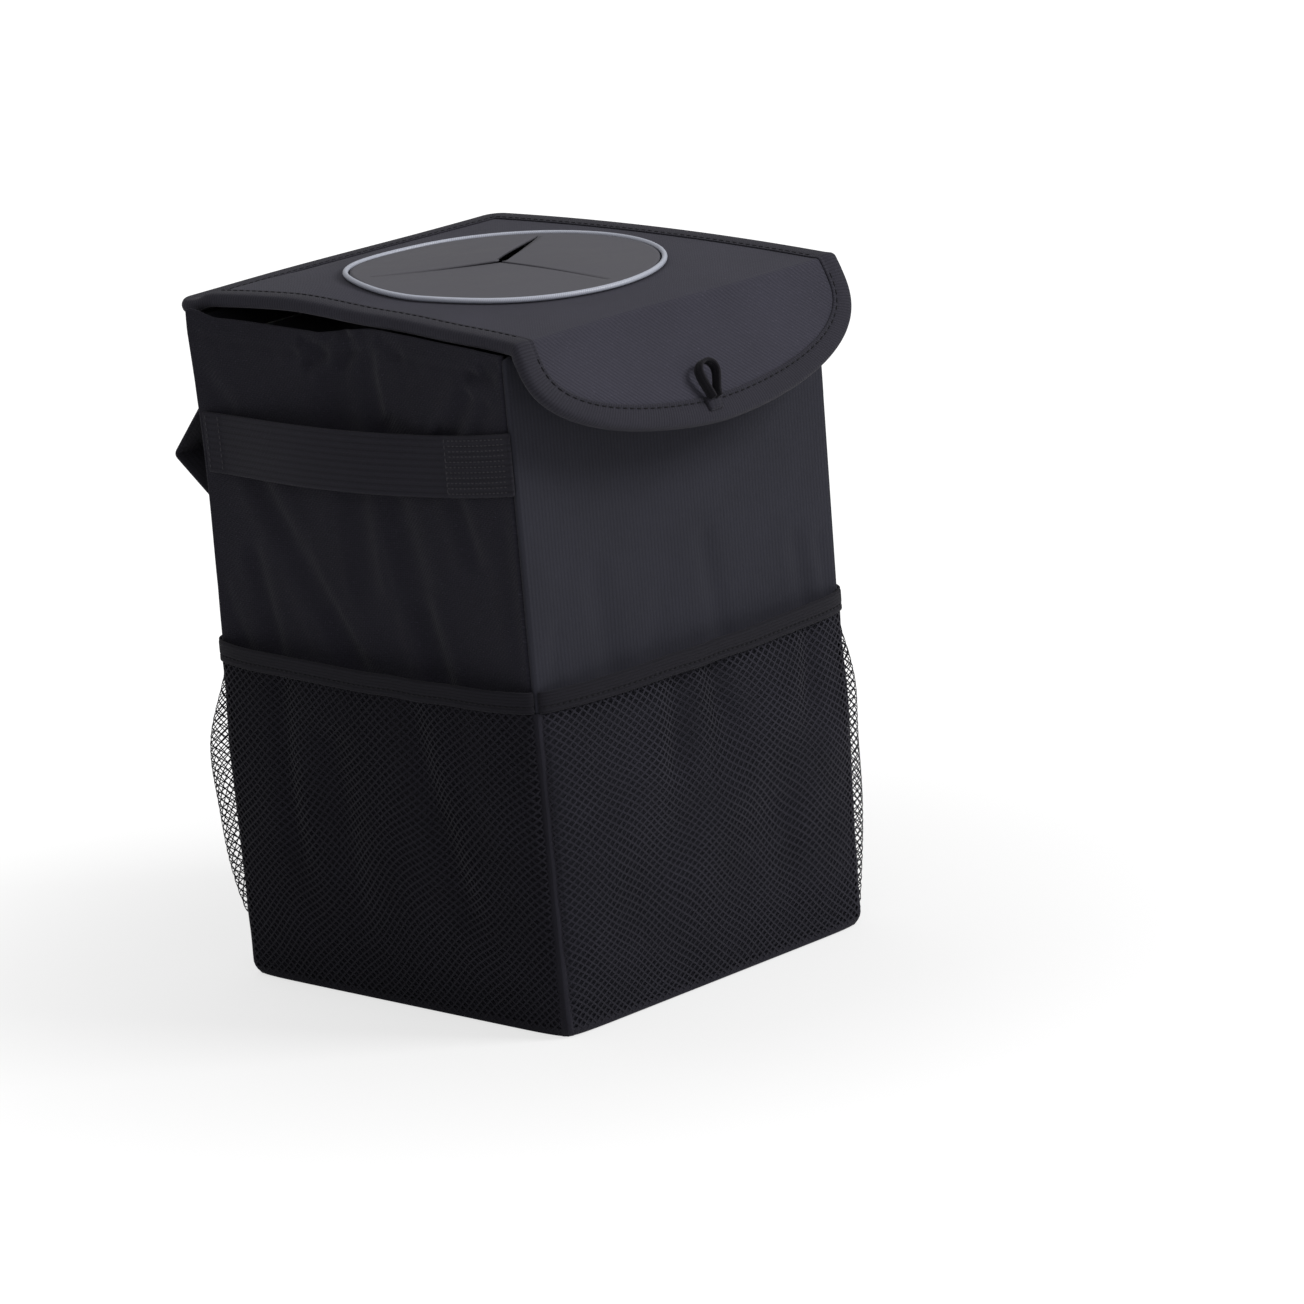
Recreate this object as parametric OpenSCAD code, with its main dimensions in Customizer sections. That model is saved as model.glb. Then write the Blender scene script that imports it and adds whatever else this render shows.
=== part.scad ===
// Car trash bin: a square fabric bin with a hinged lid, a front flap and four net pockets.
// Millimetres. The origin is at the middle of the base, +Z is up and the front faces -Y.

/* [Body] */
// Outer width of the bin, left to right
body_w = 153; // [120:1:200]
// Outer depth of the bin, front to back
body_d = 153; // [120:1:200]
// Height of the top edge of the walls
body_h = 240; // [200:1:300]
// Thickness of the outer fabric
fabric_t = 1.2; // [0.8:0.1:1.6]
// Thickness of the plastic boards in the front, back and base
board_t = 2; // [1:0.1:3]
// Thickness of the lining
lining_t = 0.8; // [0.5:0.1:1.2]
// Room left for the folds of the soft side walls
fold_room = 4; // [2:0.1:6]
// Height of the turned hem along the top of each wall
hem_h = 9; // [5:0.5:14]
// How far the turned hem stands in from the wall's outer face
hem_t = 0.5; // [0.2:0.1:0.8]
// Rise of the side walls' top edge where it is bunched up under the lid
bunch_rise = 3; // [0:0.1:3.2]

/* [Pockets] */
// Height of the top of the pocket hems
pocket_h = 124; // [90:1:150]
// Height of a pocket hem
pocket_hem_h = 7.5; // [5:0.5:12]
// Thickness of a pocket hem
pocket_hem_t = 1.6; // [1:0.1:2.5]
// Thickness of the net
net_t = 0.9; // [0.6:0.1:1.4]
// Width of a thread of the net
thread_w = 1.8; // [1:0.1:3]
// Half columns of diamonds in a net, an even number
net_cols = 14; // [8:2:18]
// Half rows of diamonds in a net, an even number
net_rows = 10; // [6:2:12]
// How far the front pocket's mouth bows out
front_bow = 7; // [5:0.5:12]
// How far the front pocket's net bellies out below its hem
front_belly = 5; // [4:0.5:14]
// How far the side and back pockets' mouths bow out
side_bow = 7; // [5:0.5:12]
// How far the left pocket's net bellies out
left_belly = 5.5; // [4:0.5:14]
// How far the right pocket's net bellies out
right_belly = 13; // [4:0.5:20]
// How far the back pocket's net bellies out
back_belly = 19; // [4:0.5:24]

/* [Side handles] */
// Width of the handle webbing
handle_w = 21.5; // [15:0.5:30]
// Thickness of the handle webbing
handle_t = 1.6; // [1:0.1:2.5]
// Distance of the handle's front end below the walls' top edge
handle_drop = 26.5; // [20:0.5:50]
// How much lower the rear end is sewn than the front end
handle_fall = 7; // [0:0.5:12]
// Length of the box-stitched front end
handle_tab = 33; // [20:1:45]
// Length of the stitched rear end
handle_rear_tab = 9; // [6:1:20]
// How far the free stretch stands out from the wall
handle_bow = 10; // [7:0.5:20]
// How far the free stretch droops
handle_droop = 3.5; // [0:0.5:8]

/* [Back loops] */
// Width of the webbing of the loops
loop_w = 24; // [15:0.5:32]
// Thickness of the webbing of the loops
loop_t = 1.6; // [1:0.1:2.2]
// Distance of the loops' top end below the walls' top edge
loop_drop = 27; // [25:0.5:40]
// Length of wall that a loop takes up
loop_h = 42; // [36:1:50]
// Length of each sewn end of a loop
loop_tab = 5; // [4:0.5:8]
// How far the fold of a loop stands out from the wall
loop_out = 19; // [10:0.5:22]
// Height of the fold above the loop's lower end
loop_fold_h = 17; // [12:0.5:22]

/* [Lid] */
// How far the lid stands out past each side wall
lid_side = 2; // [1:0.5:4]
// How far the lid stands out past the front and the back wall
lid_end = 4; // [3:0.5:6]
// Rise of the lid's arch from its front and back edges to its middle
lid_arch = 4; // [3.5:0.1:6]
// Thickness of the lid's and the flap's board
lid_board_t = 1.8; // [1:0.1:2.5]
// Thickness of the lid's and the flap's lining
lid_lining_t = 0.6; // [0.4:0.1:1]
// Thickness of the binding tape
binding_t = 0.6; // [0.4:0.1:1]
// Width of the binding tape on each face
binding_w = 9; // [6:0.5:12]
// Radius of the lid's rear corners
lid_corner_r = 7; // [4:0.5:12]
// Height of the tape that joins the lid to the back wall
hinge_tape_h = 15; // [8:1:20]
// Thickness of the tape that joins the lid to the back wall
hinge_tape_t = 0.6; // [0.4:0.1:0.8]

/* [Opening in the lid] */
// Radius of the hole under the membrane
hole_r = 51; // [40:0.5:52]
// Radius of the piping ring, to the middle of its cord
ring_r = 56; // [54:0.5:60]
// Radius of the piping cord
piping_r = 1.4; // [1:0.1:2]
// Thickness of the membrane
membrane_t = 1; // [0.6:0.1:1.5]
// Length of each arm of the cut in the membrane
slit_l = 49; // [30:0.5:50]
// Width of the two closed arms of the cut
slit_w = 0.6; // [0.4:0.1:1]
// Width of the open arm of the cut beside the middle
slit_open_w = 4; // [1:0.1:4]

/* [Flap] */
// How far the flap stands out past the lid at each side
flap_out = 0.5; // [0:0.1:2]
// Length of the flap from the fold to its tip
flap_l = 43.7; // [36:0.1:60]
// Length of the flap's straight sides
flap_side = 15; // [10:0.5:20]
// Angle at which the flap stands out from the vertical
flap_angle = 27; // [10:1:60]
// Width of the closure patches
patch_w = 50; // [30:1:70]
// Height of the closure patches
patch_h = 15; // [8:0.5:18]
// Thickness of a closure patch
patch_t = 1.2; // [0.8:0.1:1.4]
// Distance of the closure patch from the fold
patch_from_fold = 18; // [14:0.5:20]

/* [Pull loop] */
// Length of the pull loop
pull_l = 16; // [12:0.5:20]
// Width of the pull loop between the middles of its legs, at its top
pull_w = 6.6; // [6:0.2:12]
// Radius of the pull loop's cord
pull_r = 1.3; // [1:0.1:1.6]
// How far the top of the pull loop stands off the flap
pull_lift = 3; // [0:0.5:6]
// Length of the tack that holds the pull loop
tack_l = 4; // [2:0.5:6]

/* [Hidden] */

fabric_colour = [0.16, 0.16, 0.18];
side_colour = [0.12, 0.12, 0.14];
net_colour = [0.09, 0.09, 0.11];
tape_colour = [0.2, 0.2, 0.22];
board_colour = [0.75, 0.75, 0.72];
lining_colour = [0.3, 0.3, 0.33];
membrane_colour = [0.33, 0.33, 0.36];
ring_colour = [0.72, 0.75, 0.8];

seat = 0.3;              // clearance of a soft piece from what it is sewn to
lid_gap = 0.3;           // clearance between the walls and the lid
eps = 1;                 // how far a cutter runs past what it cuts
arc_steps = 20;          // straight steps in a curved outline

// Half sizes of the shell's layers
half_w = body_w / 2;
half_d = body_d / 2;
inner_w = body_w - 2 * (fabric_t + fold_room + seat);
inner_d = body_d - 2 * (fabric_t + board_t);
board_w = body_w - 2 * (fabric_t + hem_t + seat) - 4;
floor_z = fabric_t + board_t;

// The lid's stack of layers, from its lowest face up
stack_t = fabric_t + lid_board_t + lid_lining_t;
lid_t = stack_t + 2 * binding_t;
lid_cut_h = lid_t + lid_arch + lid_gap + 2 * eps;    // height of a cutter through the whole lid
lid_w = body_w + 2 * lid_side;
lid_d = body_d + 2 * lid_end;
lid_z = body_h + lid_gap;
lining_z = lid_z + binding_t;
lid_board_z = lining_z + lid_lining_t;
cover_z = lid_board_z + lid_board_t;
cover_top_z = cover_z + fabric_t;
half_lid_d = lid_d / 2;
lid_back = half_lid_d - lid_t / 2;

// The fold between lid and flap: the flap's rolled top edge turns about it
roll_r = stack_t / 2;
fold_y = -half_lid_d - lid_gap - roll_r;
fold_z = lining_z + roll_r;
flap_w = lid_w + 2 * flap_out;
flap_binding_start = 3 + lid_gap;

function clamp(x) = max(0, min(1, x));
function smooth(x) = let (t = clamp(x)) t * t * (3 - 2 * t);
function arch(y) = lid_arch * (1 - pow(y / half_lid_d, 2));

// Two triangles for a four-cornered face
function quad(a, b, c, d) = [[a, b, c], [a, c, d]];
function flip(faces) = [for (f = faces) [f[2], f[1], f[0]]];
function join(lists) = [for (l = lists) for (e = l) e];

// A closed sheet from two grids of points, outer[v][u] and inner[v][u]
module sheet(outer, inner) {
    rows = len(outer);
    cols = len(outer[0]);
    back = rows * cols;
    skin = join([for (v = [0:rows - 2]) for (u = [0:cols - 2])
        quad(v * cols + u, (v + 1) * cols + u, (v + 1) * cols + u + 1, v * cols + u + 1)]);
    low = [for (u = [0:cols - 2]) [u, u + 1]];
    right = [for (v = [0:rows - 2]) [v * cols + cols - 1, (v + 1) * cols + cols - 1]];
    high = [for (u = [cols - 1:-1:1]) [(rows - 1) * cols + u, (rows - 1) * cols + u - 1]];
    left = [for (v = [rows - 1:-1:1]) [v * cols, (v - 1) * cols]];
    rim = join([for (e = concat(low, right, high, left)) quad(e[0], e[1], e[1] + back, e[0] + back)]);
    polyhedron(
        points = concat(join(outer), join(inner)),
        faces = concat(skin, flip([for (f = skin) [f[0] + back, f[1] + back, f[2] + back]]), rim));
}

// A closed bar from rings of points, one ring after another along its path
module bar(rings) {
    n = len(rings[0]);
    last = (len(rings) - 1) * n;
    sides = join([for (r = [0:len(rings) - 2]) for (k = [0:n - 1])
        quad(r * n + k, r * n + (k + 1) % n, (r + 1) * n + (k + 1) % n, (r + 1) * n + k)]);
    caps = concat([for (k = [1:n - 2]) [0, k + 1, k]],
        [for (k = [1:n - 2]) [last, last + k, last + k + 1]]);
    polyhedron(points = join(rings), faces = flip(concat(sides, caps)));
}

// Soft side wall. Each fold is [place at the top, place at the bottom, width, depth, height of
// its top, height of its bottom], places as shares of the half depth, heights of the wall.
left_folds = [
    [-0.86, -0.60, 5, 3.2, 1.00, 0.42],
    [-0.55, -0.10, 6, 3.4, 0.98, 0.30],
    [-0.12, -0.38, 4, 2.6, 1.02, 0.62],
    [0.06, 0.16, 5, 3.6, 1.02, 0.25],
    [0.30, 0.46, 5, 3.0, 0.98, 0.10],
    [0.62, 0.66, 6, 3.4, 0.92, 0.06],
    [0.90, 0.76, 4, 2.4, 0.90, 0.20],
    [-0.70, -0.78, 5, 2.6, 0.50, 0.04],
    [-0.24, -0.40, 6, 2.8, 0.46, 0.04]];
right_folds = [
    [-0.78, -0.66, 6, 3.0, 0.98, 0.20],
    [-0.40, -0.48, 5, 3.2, 1.02, 0.08],
    [-0.06, 0.10, 6, 3.6, 1.00, 0.30],
    [0.28, 0.22, 5, 2.8, 1.02, 0.05],
    [0.54, 0.70, 6, 3.4, 0.96, 0.16],
    [0.84, 0.80, 4, 2.4, 0.94, 0.10]];

function fold_line(f, h) = half_d * (f[1] + (f[0] - f[1]) * (h - f[5]) / (f[4] - f[5]));
function fold_reach(f, h) = smooth((h - f[5]) / 0.14) * smooth((f[4] - h) / 0.1 + 0.35);
function fold_at(f, y, h) = f[3] * fold_reach(f, h) * exp(-pow((y - fold_line(f, h)) / f[2], 2));
function fold_sum(folds, y, h, k = 0) =
    k == len(folds) ? 0 : fold_at(folds[k], y, h) + fold_sum(folds, y, h, k + 1);
function edge_fade(y, h) = (1 - pow(abs(y) / half_d, 10)) * smooth(h / 0.08);
// How far the wall's outer face sinks in at y and at the share h of its height
function relief(folds, y, h) = let (s = edge_fade(y, h) * fold_sum(folds, y, h))
    fold_room * (1 - exp(-s / fold_room));
// Top edge: bunched up under the lid a little in front of the middle
function side_top(y) = body_h + bunch_rise * exp(-pow((y + 0.2 * half_d) / (0.22 * half_d), 2))
    - 0.4 * (1 - pow(y / half_d, 2));

module side_wall(folds, side) {
    cols = 24;
    rows = 15;
    span = body_d - 2 * fabric_t;
    ys = [for (u = [0:cols]) -side * (-span / 2 + span * u / cols)];
    shares = [for (v = [0:rows]) v / rows];
    function face(y, h, inset) = [side * (half_w - relief(folds, y, h) - inset), y,
        fabric_t + h * (side_top(y) - fabric_t)];
    sheet([for (h = shares) [for (y = ys) face(y, h, 0)]],
        [for (h = shares) [for (y = ys) face(y, h, fabric_t)]]);
}

module left_panel() {
    color(side_colour) side_wall(left_folds, -1);
}

module right_panel() {
    color(side_colour) side_wall(right_folds, 1);
}

// Front or back wall: flat fabric over a board, with its top edge turned in over the board
module stiff_wall() {
    translate([-half_w, -half_d, fabric_t]) cube([body_w, fabric_t, body_h - fabric_t]);
    translate([-board_w / 2, -half_d + fabric_t, body_h - hem_t]) cube([board_w, board_t, hem_t]);
    translate([-board_w / 2, -half_d + fabric_t + board_t, body_h - hem_h]) cube([board_w, hem_t, hem_h]);
}

module stiff_board() {
    translate([-board_w / 2, -half_d + fabric_t, fabric_t])
        cube([board_w, board_t, body_h - hem_t - fabric_t]);
}

module front_panel() {
    color(fabric_colour) stiff_wall();
}

module back_panel() {
    color(fabric_colour) rotate(180) stiff_wall();
}

module front_board() {
    color(board_colour) stiff_board();
}

module back_board() {
    color(board_colour) rotate(180) stiff_board();
}

module base_panel() {
    color(fabric_colour) translate([-half_w, -half_d, 0]) cube([body_w, body_d, fabric_t]);
}

module base_board() {
    color(board_colour) translate([-board_w / 2, -inner_d / 2, fabric_t]) cube([board_w, inner_d, board_t]);
}

// Lining inside the boards, its top edge under the walls' turned hems: a strip round the four
// walls, sewn to a floor
module lining() {
    low = floor_z + lining_t;
    high = body_h - hem_h - seat;
    color(lining_colour) difference() {
        translate([-inner_w / 2, -inner_d / 2, low]) cube([inner_w, inner_d, high - low]);
        translate([-inner_w / 2 + lining_t, -inner_d / 2 + lining_t, low - eps])
            cube([inner_w - 2 * lining_t, inner_d - 2 * lining_t, high - low + 2 * eps]);
    }
}

module lining_floor() {
    color(lining_colour) translate([-inner_w / 2, -inner_d / 2, floor_z]) cube([inner_w, inner_d, lining_t]);
}

// Pocket net, drawn on the front wall. In plan it is a rounded bow: a superellipse whose power
// falls from square-shouldered at the belly to a plain ellipse at the hem.
net_low = 1;
net_high = pocket_h - pocket_hem_h - seat;
net_inset = max(net_t, pocket_hem_t);
shoulder = 0.97;         // share of the half width at which the net's side strip ends
// Bow, belly, share of the height at which the belly starts, half width of the wall and how far
// the wall's face is from the middle of the bin
front_shape = [front_bow, front_belly, 0, half_w - net_inset, half_d];
left_shape = [side_bow, left_belly, 0, half_d - net_inset, half_w];
right_shape = [side_bow, right_belly, 0.34, half_d - net_inset, half_w];
back_shape = [side_bow, back_belly, 0.16, half_w - net_inset, half_d];

function belly_at(v, bow, belly, low) = bow * smooth((v - low) / (1 - low))
    + belly * pow(sin(180 * clamp((v - low) / (1 - low))), 0.8);
function plan_power(v) = 6 - 4 * smooth((v - 0.7) / 0.3);
// Point of the plan curve at the share u of the half width, out by t along its normal
function bow_point(u, depth, power, shape, t) = let (
    half = shape[3],
    d = max(depth, 0.01),
    rise = pow(max(0, 1 - pow(abs(u), power)), 1 / power),
    nx = sign(u) * pow(abs(u), power - 1) / half,
    ny = pow(rise, power - 1) / d,
    n = norm([nx, ny]))
    [u * half + t * nx / n, -shape[4] - seat - d * rise - t * ny / n];
function net_point(u, v, t, shape) = let (
    p = bow_point(u, belly_at(v, shape[0], shape[1], shape[2]), plan_power(v), shape, t))
    [p[0], p[1], net_low + v * (net_high - net_low)];

// The net's crossings lie where i + j is even and its openings where i + j is odd
function crossing(i, j) = floor(j / 2) * (net_cols + 1) + (j % 2) * (net_cols / 2 + 1) + floor(i / 2);
function corner(i, j, k) = 4 * crossing(i, j) + k;
cross_v = thread_w / (pocket_h / net_rows);
// Corners of a crossing, right, up, left and down, in steps of the grid
function corner_place(i, j, k, cross_u) =
    k == 0 ? (i == net_cols ? [i + 1, j] : [i + cross_u, j]) :
    k == 1 ? (j == net_rows ? [i, j + 1] : [i, j + cross_v]) :
    k == 2 ? (i == 0 ? [-1, j] : [i - cross_u, j]) :
    (j == 0 ? [i, -1] : [i, j - cross_v]);
rim_v = 0.02;            // share of the net's height that its upper and lower rims take
// From grid steps to shares of the half width and of the height: the rims lie outside the grid
function grid_u(i) = i < 0 ? -1 : i > net_cols ? 1 : shoulder * (2 * i / net_cols - 1);
function grid_v(j) = j < 0 ? 0 : j > net_rows ? 1 : rim_v + (1 - 2 * rim_v) * j / net_rows;

module net(shape) {
    cross_u = thread_w / (2 * shape[3] / net_cols);
    grid = [for (j = [0:net_rows]) for (i = [j % 2:2:net_cols - j % 2]) [i, j]];
    places = concat([for (g = grid) for (k = [0:3]) corner_place(g[0], g[1], k, cross_u)],
        [[-1, -1], [net_cols + 1, -1], [net_cols + 1, net_rows + 1], [-1, net_rows + 1]]);
    n = len(places);
    outer = [for (p = places) net_point(grid_u(p[0]), grid_v(p[1]), net_t, shape)];
    inner = [for (p = places) net_point(grid_u(p[0]), grid_v(p[1]), 0, shape)];
    knots = join([for (g = grid) quad(corner(g[0], g[1], 0), corner(g[0], g[1], 3),
        corner(g[0], g[1], 2), corner(g[0], g[1], 1))]);
    rising = join([for (g = grid) if (g[0] < net_cols && g[1] < net_rows)
        quad(corner(g[0], g[1], 0), corner(g[0], g[1], 1),
            corner(g[0] + 1, g[1] + 1, 2), corner(g[0] + 1, g[1] + 1, 3))]);
    falling = join([for (g = grid) if (g[0] < net_cols && g[1] > 0)
        quad(corner(g[0], g[1], 3), corner(g[0], g[1], 0),
            corner(g[0] + 1, g[1] - 1, 1), corner(g[0] + 1, g[1] - 1, 2))]);
    side_rims = join([for (j = [0:2:net_rows - 2]) concat(
        quad(corner(0, j, 2), corner(0, j + 2, 2), corner(0, j + 2, 3), corner(0, j, 1)),
        quad(corner(net_cols, j, 1), corner(net_cols, j + 2, 3),
            corner(net_cols, j + 2, 0), corner(net_cols, j, 0)))]);
    end_rims = join([for (i = [0:2:net_cols - 2]) concat(
        quad(corner(i, 0, 3), corner(i, 0, 0), corner(i + 2, 0, 2), corner(i + 2, 0, 3)),
        quad(corner(i, net_rows, 0), corner(i, net_rows, 1),
            corner(i + 2, net_rows, 1), corner(i + 2, net_rows, 2)))]);
    corner_caps = [
        [corner(0, 0, 2), corner(0, 0, 3), n - 4],
        [corner(net_cols, 0, 3), corner(net_cols, 0, 0), n - 3],
        [corner(net_cols, net_rows, 0), corner(net_cols, net_rows, 1), n - 2],
        [corner(0, net_rows, 1), corner(0, net_rows, 2), n - 1]];
    skin = concat(knots, rising, falling, side_rims, end_rims, corner_caps);
    // Loops of edges: round the outside and round each opening
    rim_edges = join([
        [[n - 4, corner(0, 0, 3)]],
        [for (i = [0:2:net_cols - 2]) [corner(i, 0, 3), corner(i + 2, 0, 3)]],
        [[corner(net_cols, 0, 3), n - 3], [n - 3, corner(net_cols, 0, 0)]],
        [for (j = [0:2:net_rows - 2]) [corner(net_cols, j, 0), corner(net_cols, j + 2, 0)]],
        [[corner(net_cols, net_rows, 0), n - 2], [n - 2, corner(net_cols, net_rows, 1)]],
        [for (i = [net_cols:-2:2]) [corner(i, net_rows, 1), corner(i - 2, net_rows, 1)]],
        [[corner(0, net_rows, 1), n - 1], [n - 1, corner(0, net_rows, 2)]],
        [for (j = [net_rows:-2:2]) [corner(0, j, 2), corner(0, j - 2, 2)]],
        [[corner(0, 0, 2), n - 4]]]);
    hole_loops = [for (j = [0:net_rows]) for (i = [(j + 1) % 2:2:net_cols]) concat(
        i < net_cols ? [corner(i + 1, j, 2)] : [],
        j > 0 ? [corner(i, j - 1, 1)] : [],
        i > 0 ? [corner(i - 1, j, 0)] : [],
        j < net_rows ? [corner(i, j + 1, 3)] : [])];
    hole_edges = join([for (h = hole_loops) [for (k = [0:len(h) - 1]) [h[k], h[(k + 1) % len(h)]]]]);
    walls = join([for (e = concat(rim_edges, hole_edges)) quad(e[0], e[1], e[1] + n, e[0] + n)]);
    polyhedron(points = concat(outer, inner),
        faces = concat(skin, flip([for (f = skin) [f[0] + n, f[1] + n, f[2] + n]]), walls));
}

// Pocket hem: an elastic band along the top of the net, bowed out from the wall
module pocket_hem(shape) {
    shares = [for (k = [-arc_steps:arc_steps]) sin(90 * k / arc_steps)];
    outer = [for (u = shares) bow_point(u, shape[0], 2, shape, pocket_hem_t)];
    inner = [for (u = shares) bow_point(-u, shape[0], 2, shape, 0)];
    translate([0, 0, pocket_h - pocket_hem_h]) linear_extrude(pocket_hem_h) polygon(concat(outer, inner));
}

module front_pocket_net() {
    color(net_colour) net(front_shape);
}

module left_pocket_net() {
    color(net_colour) rotate(-90) net(left_shape);
}

module right_pocket_net() {
    color(net_colour) rotate(90) net(right_shape);
}

module back_pocket_net() {
    color(net_colour) rotate(180) net(back_shape);
}

module front_pocket_hem() {
    color(tape_colour) pocket_hem(front_shape);
}

module left_pocket_hem() {
    color(tape_colour) rotate(-90) pocket_hem(left_shape);
}

module right_pocket_hem() {
    color(tape_colour) rotate(90) pocket_hem(right_shape);
}

module back_pocket_hem() {
    color(tape_colour) rotate(180) pocket_hem(back_shape);
}

// Side handle: flat webbing sewn down at both ends, slack and drooping between them
module side_handle(side) {
    steps = 26;
    start = -half_d + seat;
    length = body_d - 2 * seat - 4;
    free_start = handle_tab / length;
    free_end = 1 - handle_rear_tab / length;
    function slack(s) = pow(sin(180 * clamp((s - free_start) / (free_end - free_start))), 1.2);
    function ring_at(s) = let (
        x = half_w + seat + handle_bow * slack(s),
        y = start + length * s,
        z = body_h - handle_drop - handle_w - handle_fall * s - handle_droop * slack(s))
        [[side * x, y, z], [side * (x + handle_t), y, z],
            [side * (x + handle_t), y, z + handle_w], [side * x, y, z + handle_w]];
    rings = [for (k = [0:steps]) ring_at(side < 0 ? k / steps : 1 - k / steps)];
    bar(rings);
}

module left_side_handle() {
    color(tape_colour) side_handle(-1);
}

module right_side_handle() {
    color(tape_colour) side_handle(1);
}

// Back loop: webbing sewn to the back wall at both ends, with a sharp fold between them
module back_loop(x) {
    top = body_h - loop_drop;
    low = top - loop_h;
    tip = low + loop_fold_h;
    wall = half_d;
    color(tape_colour) translate([x, 0, 0]) rotate([90, 0, 90]) linear_extrude(loop_w, center = true)
        polygon([
            [wall, top], [wall + loop_t, top], [wall + loop_t, top - loop_tab + loop_t / 2],
            [wall + loop_out, tip + loop_t / 2], [wall + loop_out, tip - loop_t / 2],
            [wall + loop_t, low + loop_tab - loop_t / 2], [wall + loop_t, low], [wall, low],
            [wall, low + loop_tab + loop_t / 2], [wall + loop_out - 2 * loop_t, tip],
            [wall, top - loop_tab - loop_t / 2]]);
}

module back_loop_left() {
    back_loop(-half_w + loop_w / 2);
}

module back_loop_right() {
    back_loop(half_w - loop_w / 2);
}

// Tape sewn along the top of the back wall, which joins the lid to it
module lid_hinge_tape() {
    color(tape_colour) translate([-board_w / 2, half_d, body_h - hinge_tape_h - 2 * hinge_tape_t])
        cube([board_w, hinge_tape_t, hinge_tape_h]);
}

// Closure patch on the front wall, where the flap's own patch meets it
module closure_loop_patch() {
    color(tape_colour) translate([-patch_w / 2, -half_d - patch_t, fold_z - patch_from_fold - patch_h])
        cube([patch_w, patch_t, patch_h]);
}

// A layer of the lid: arched along Y, t thick, its lower face at height z on the lid's edges
module arched(z, t, back, round = false) {
    ys = [for (k = [0:arc_steps]) -half_lid_d + (back + half_lid_d) * k / arc_steps];
    top = [for (y = ys) [y, z + t + arch(y)]];
    low = [for (k = [arc_steps:-1:0]) [ys[k], z + arch(ys[k])]];
    middle = [back, z + t / 2 + arch(back)];
    nose = round ? [for (a = [75:-15:-75]) middle + t / 2 * [cos(a), sin(a)]] : [];
    rotate([90, 0, 90]) linear_extrude(lid_w + 2 * eps, center = true) polygon(concat(top, nose, low));
}

// Outline of the lid in plan, inset all round by the given distance, with round rear corners
module lid_outline(inset) {
    r = lid_corner_r - inset;
    w = lid_w / 2 - inset;
    back = half_lid_d - inset;
    translate([-w, -half_lid_d - eps]) square([2 * w, half_lid_d + back - r + eps]);
    translate([-w + r, 0]) square([2 * (w - r), back]);
    for (side = [-1, 1]) translate([side * (w - r), back - r]) circle(r, $fn = 48);
}

module lid_layer(z, t, hole) {
    difference() {
        intersection() {
            arched(z, t, lid_back);
            translate([0, 0, body_h - eps]) linear_extrude(lid_cut_h) lid_outline(binding_t);
        }
        translate([0, 0, body_h - eps]) cylinder(h = lid_cut_h, r = hole, $fn = 96);
    }
}

module lid_cover() {
    color(fabric_colour) lid_layer(cover_z, fabric_t, hole_r);
}

module lid_board() {
    color(board_colour) lid_layer(lid_board_z, lid_board_t, hole_r + 1);
}

module lid_lining() {
    color(lining_colour) lid_layer(lining_z, lid_lining_t, hole_r);
}

// Binding: tape folded over the lid's left, back and right edges
module lid_binding() {
    color(tape_colour) difference() {
        intersection() {
            arched(lid_z, lid_t, lid_back, true);
            translate([0, 0, body_h - eps]) linear_extrude(lid_cut_h) lid_outline(0);
        }
        intersection() {
            arched(lining_z, stack_t, lid_back, true);
            translate([0, 0, body_h - eps]) linear_extrude(lid_cut_h) lid_outline(binding_t);
        }
        translate([-lid_w / 2 + binding_w, -half_lid_d - eps, body_h - eps])
            cube([lid_w - 2 * binding_w, lid_d - binding_w + eps, lid_cut_h]);
    }
}

// Membrane: one springy disc over the hole, with a three-armed cut to push rubbish through
module membrane() {
    membrane_r = ring_r - piping_r - seat;
    color(membrane_colour) difference() {
        intersection() {
            arched(cover_top_z, membrane_t, lid_back);
            translate([0, 0, body_h]) cylinder(h = lid_cut_h, r = membrane_r, $fn = 96);
        }
        translate([0, 0, body_h]) linear_extrude(lid_cut_h) {
            for (a = [150, 270]) rotate(a) translate([0, -slit_w / 2]) square([slit_l, slit_w]);
            rotate(30) polygon([[0, -slit_w / 2], [4, -slit_open_w / 2], [slit_l, -slit_w / 2],
                [slit_l, slit_w / 2], [4, slit_open_w / 2], [0, slit_w / 2]]);
        }
    }
}

// Piping: a round cord sewn round the membrane, following the lid's arch
module piping_ring() {
    steps = 60;
    sides = 8;
    rings = [for (s = [0:steps - 1]) [for (k = [0:sides - 1]) let (
        turn = 360 * s / steps,
        r = ring_r + piping_r * cos(360 * (k + 0.5) / sides),
        y = r * sin(turn))
        [r * cos(turn), y, cover_top_z + arch(y) + seat / 2 + piping_r
            + piping_r * sin(360 * (k + 0.5) / sides)]]];
    faces = join([for (s = [0:steps - 1]) for (k = [0:sides - 1]) let (next = (s + 1) % steps)
        quad(s * sides + k, s * sides + (k + 1) % sides, next * sides + (k + 1) % sides, next * sides + k)]);
    color(ring_colour) polyhedron(points = join(rings), faces = faces);
}

// The flap's own frame: x across, y down the flap from the fold, z through it towards the bin
module on_flap() {
    translate([0, fold_y, fold_z]) rotate([270 - flap_angle, 0, 0]) children();
}

// Outline of the flap: straight sides, then half an ellipse, inset all round
module flap_outline(inset, start) {
    a = flap_w / 2 - inset;
    b = flap_l - flap_side - inset;
    polygon(concat([[a, start]],
        [for (k = [0:2 * arc_steps]) [a * cos(90 * k / arc_steps), flap_side + b * sin(90 * k / arc_steps)]],
        [[-a, start]]));
}

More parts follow.
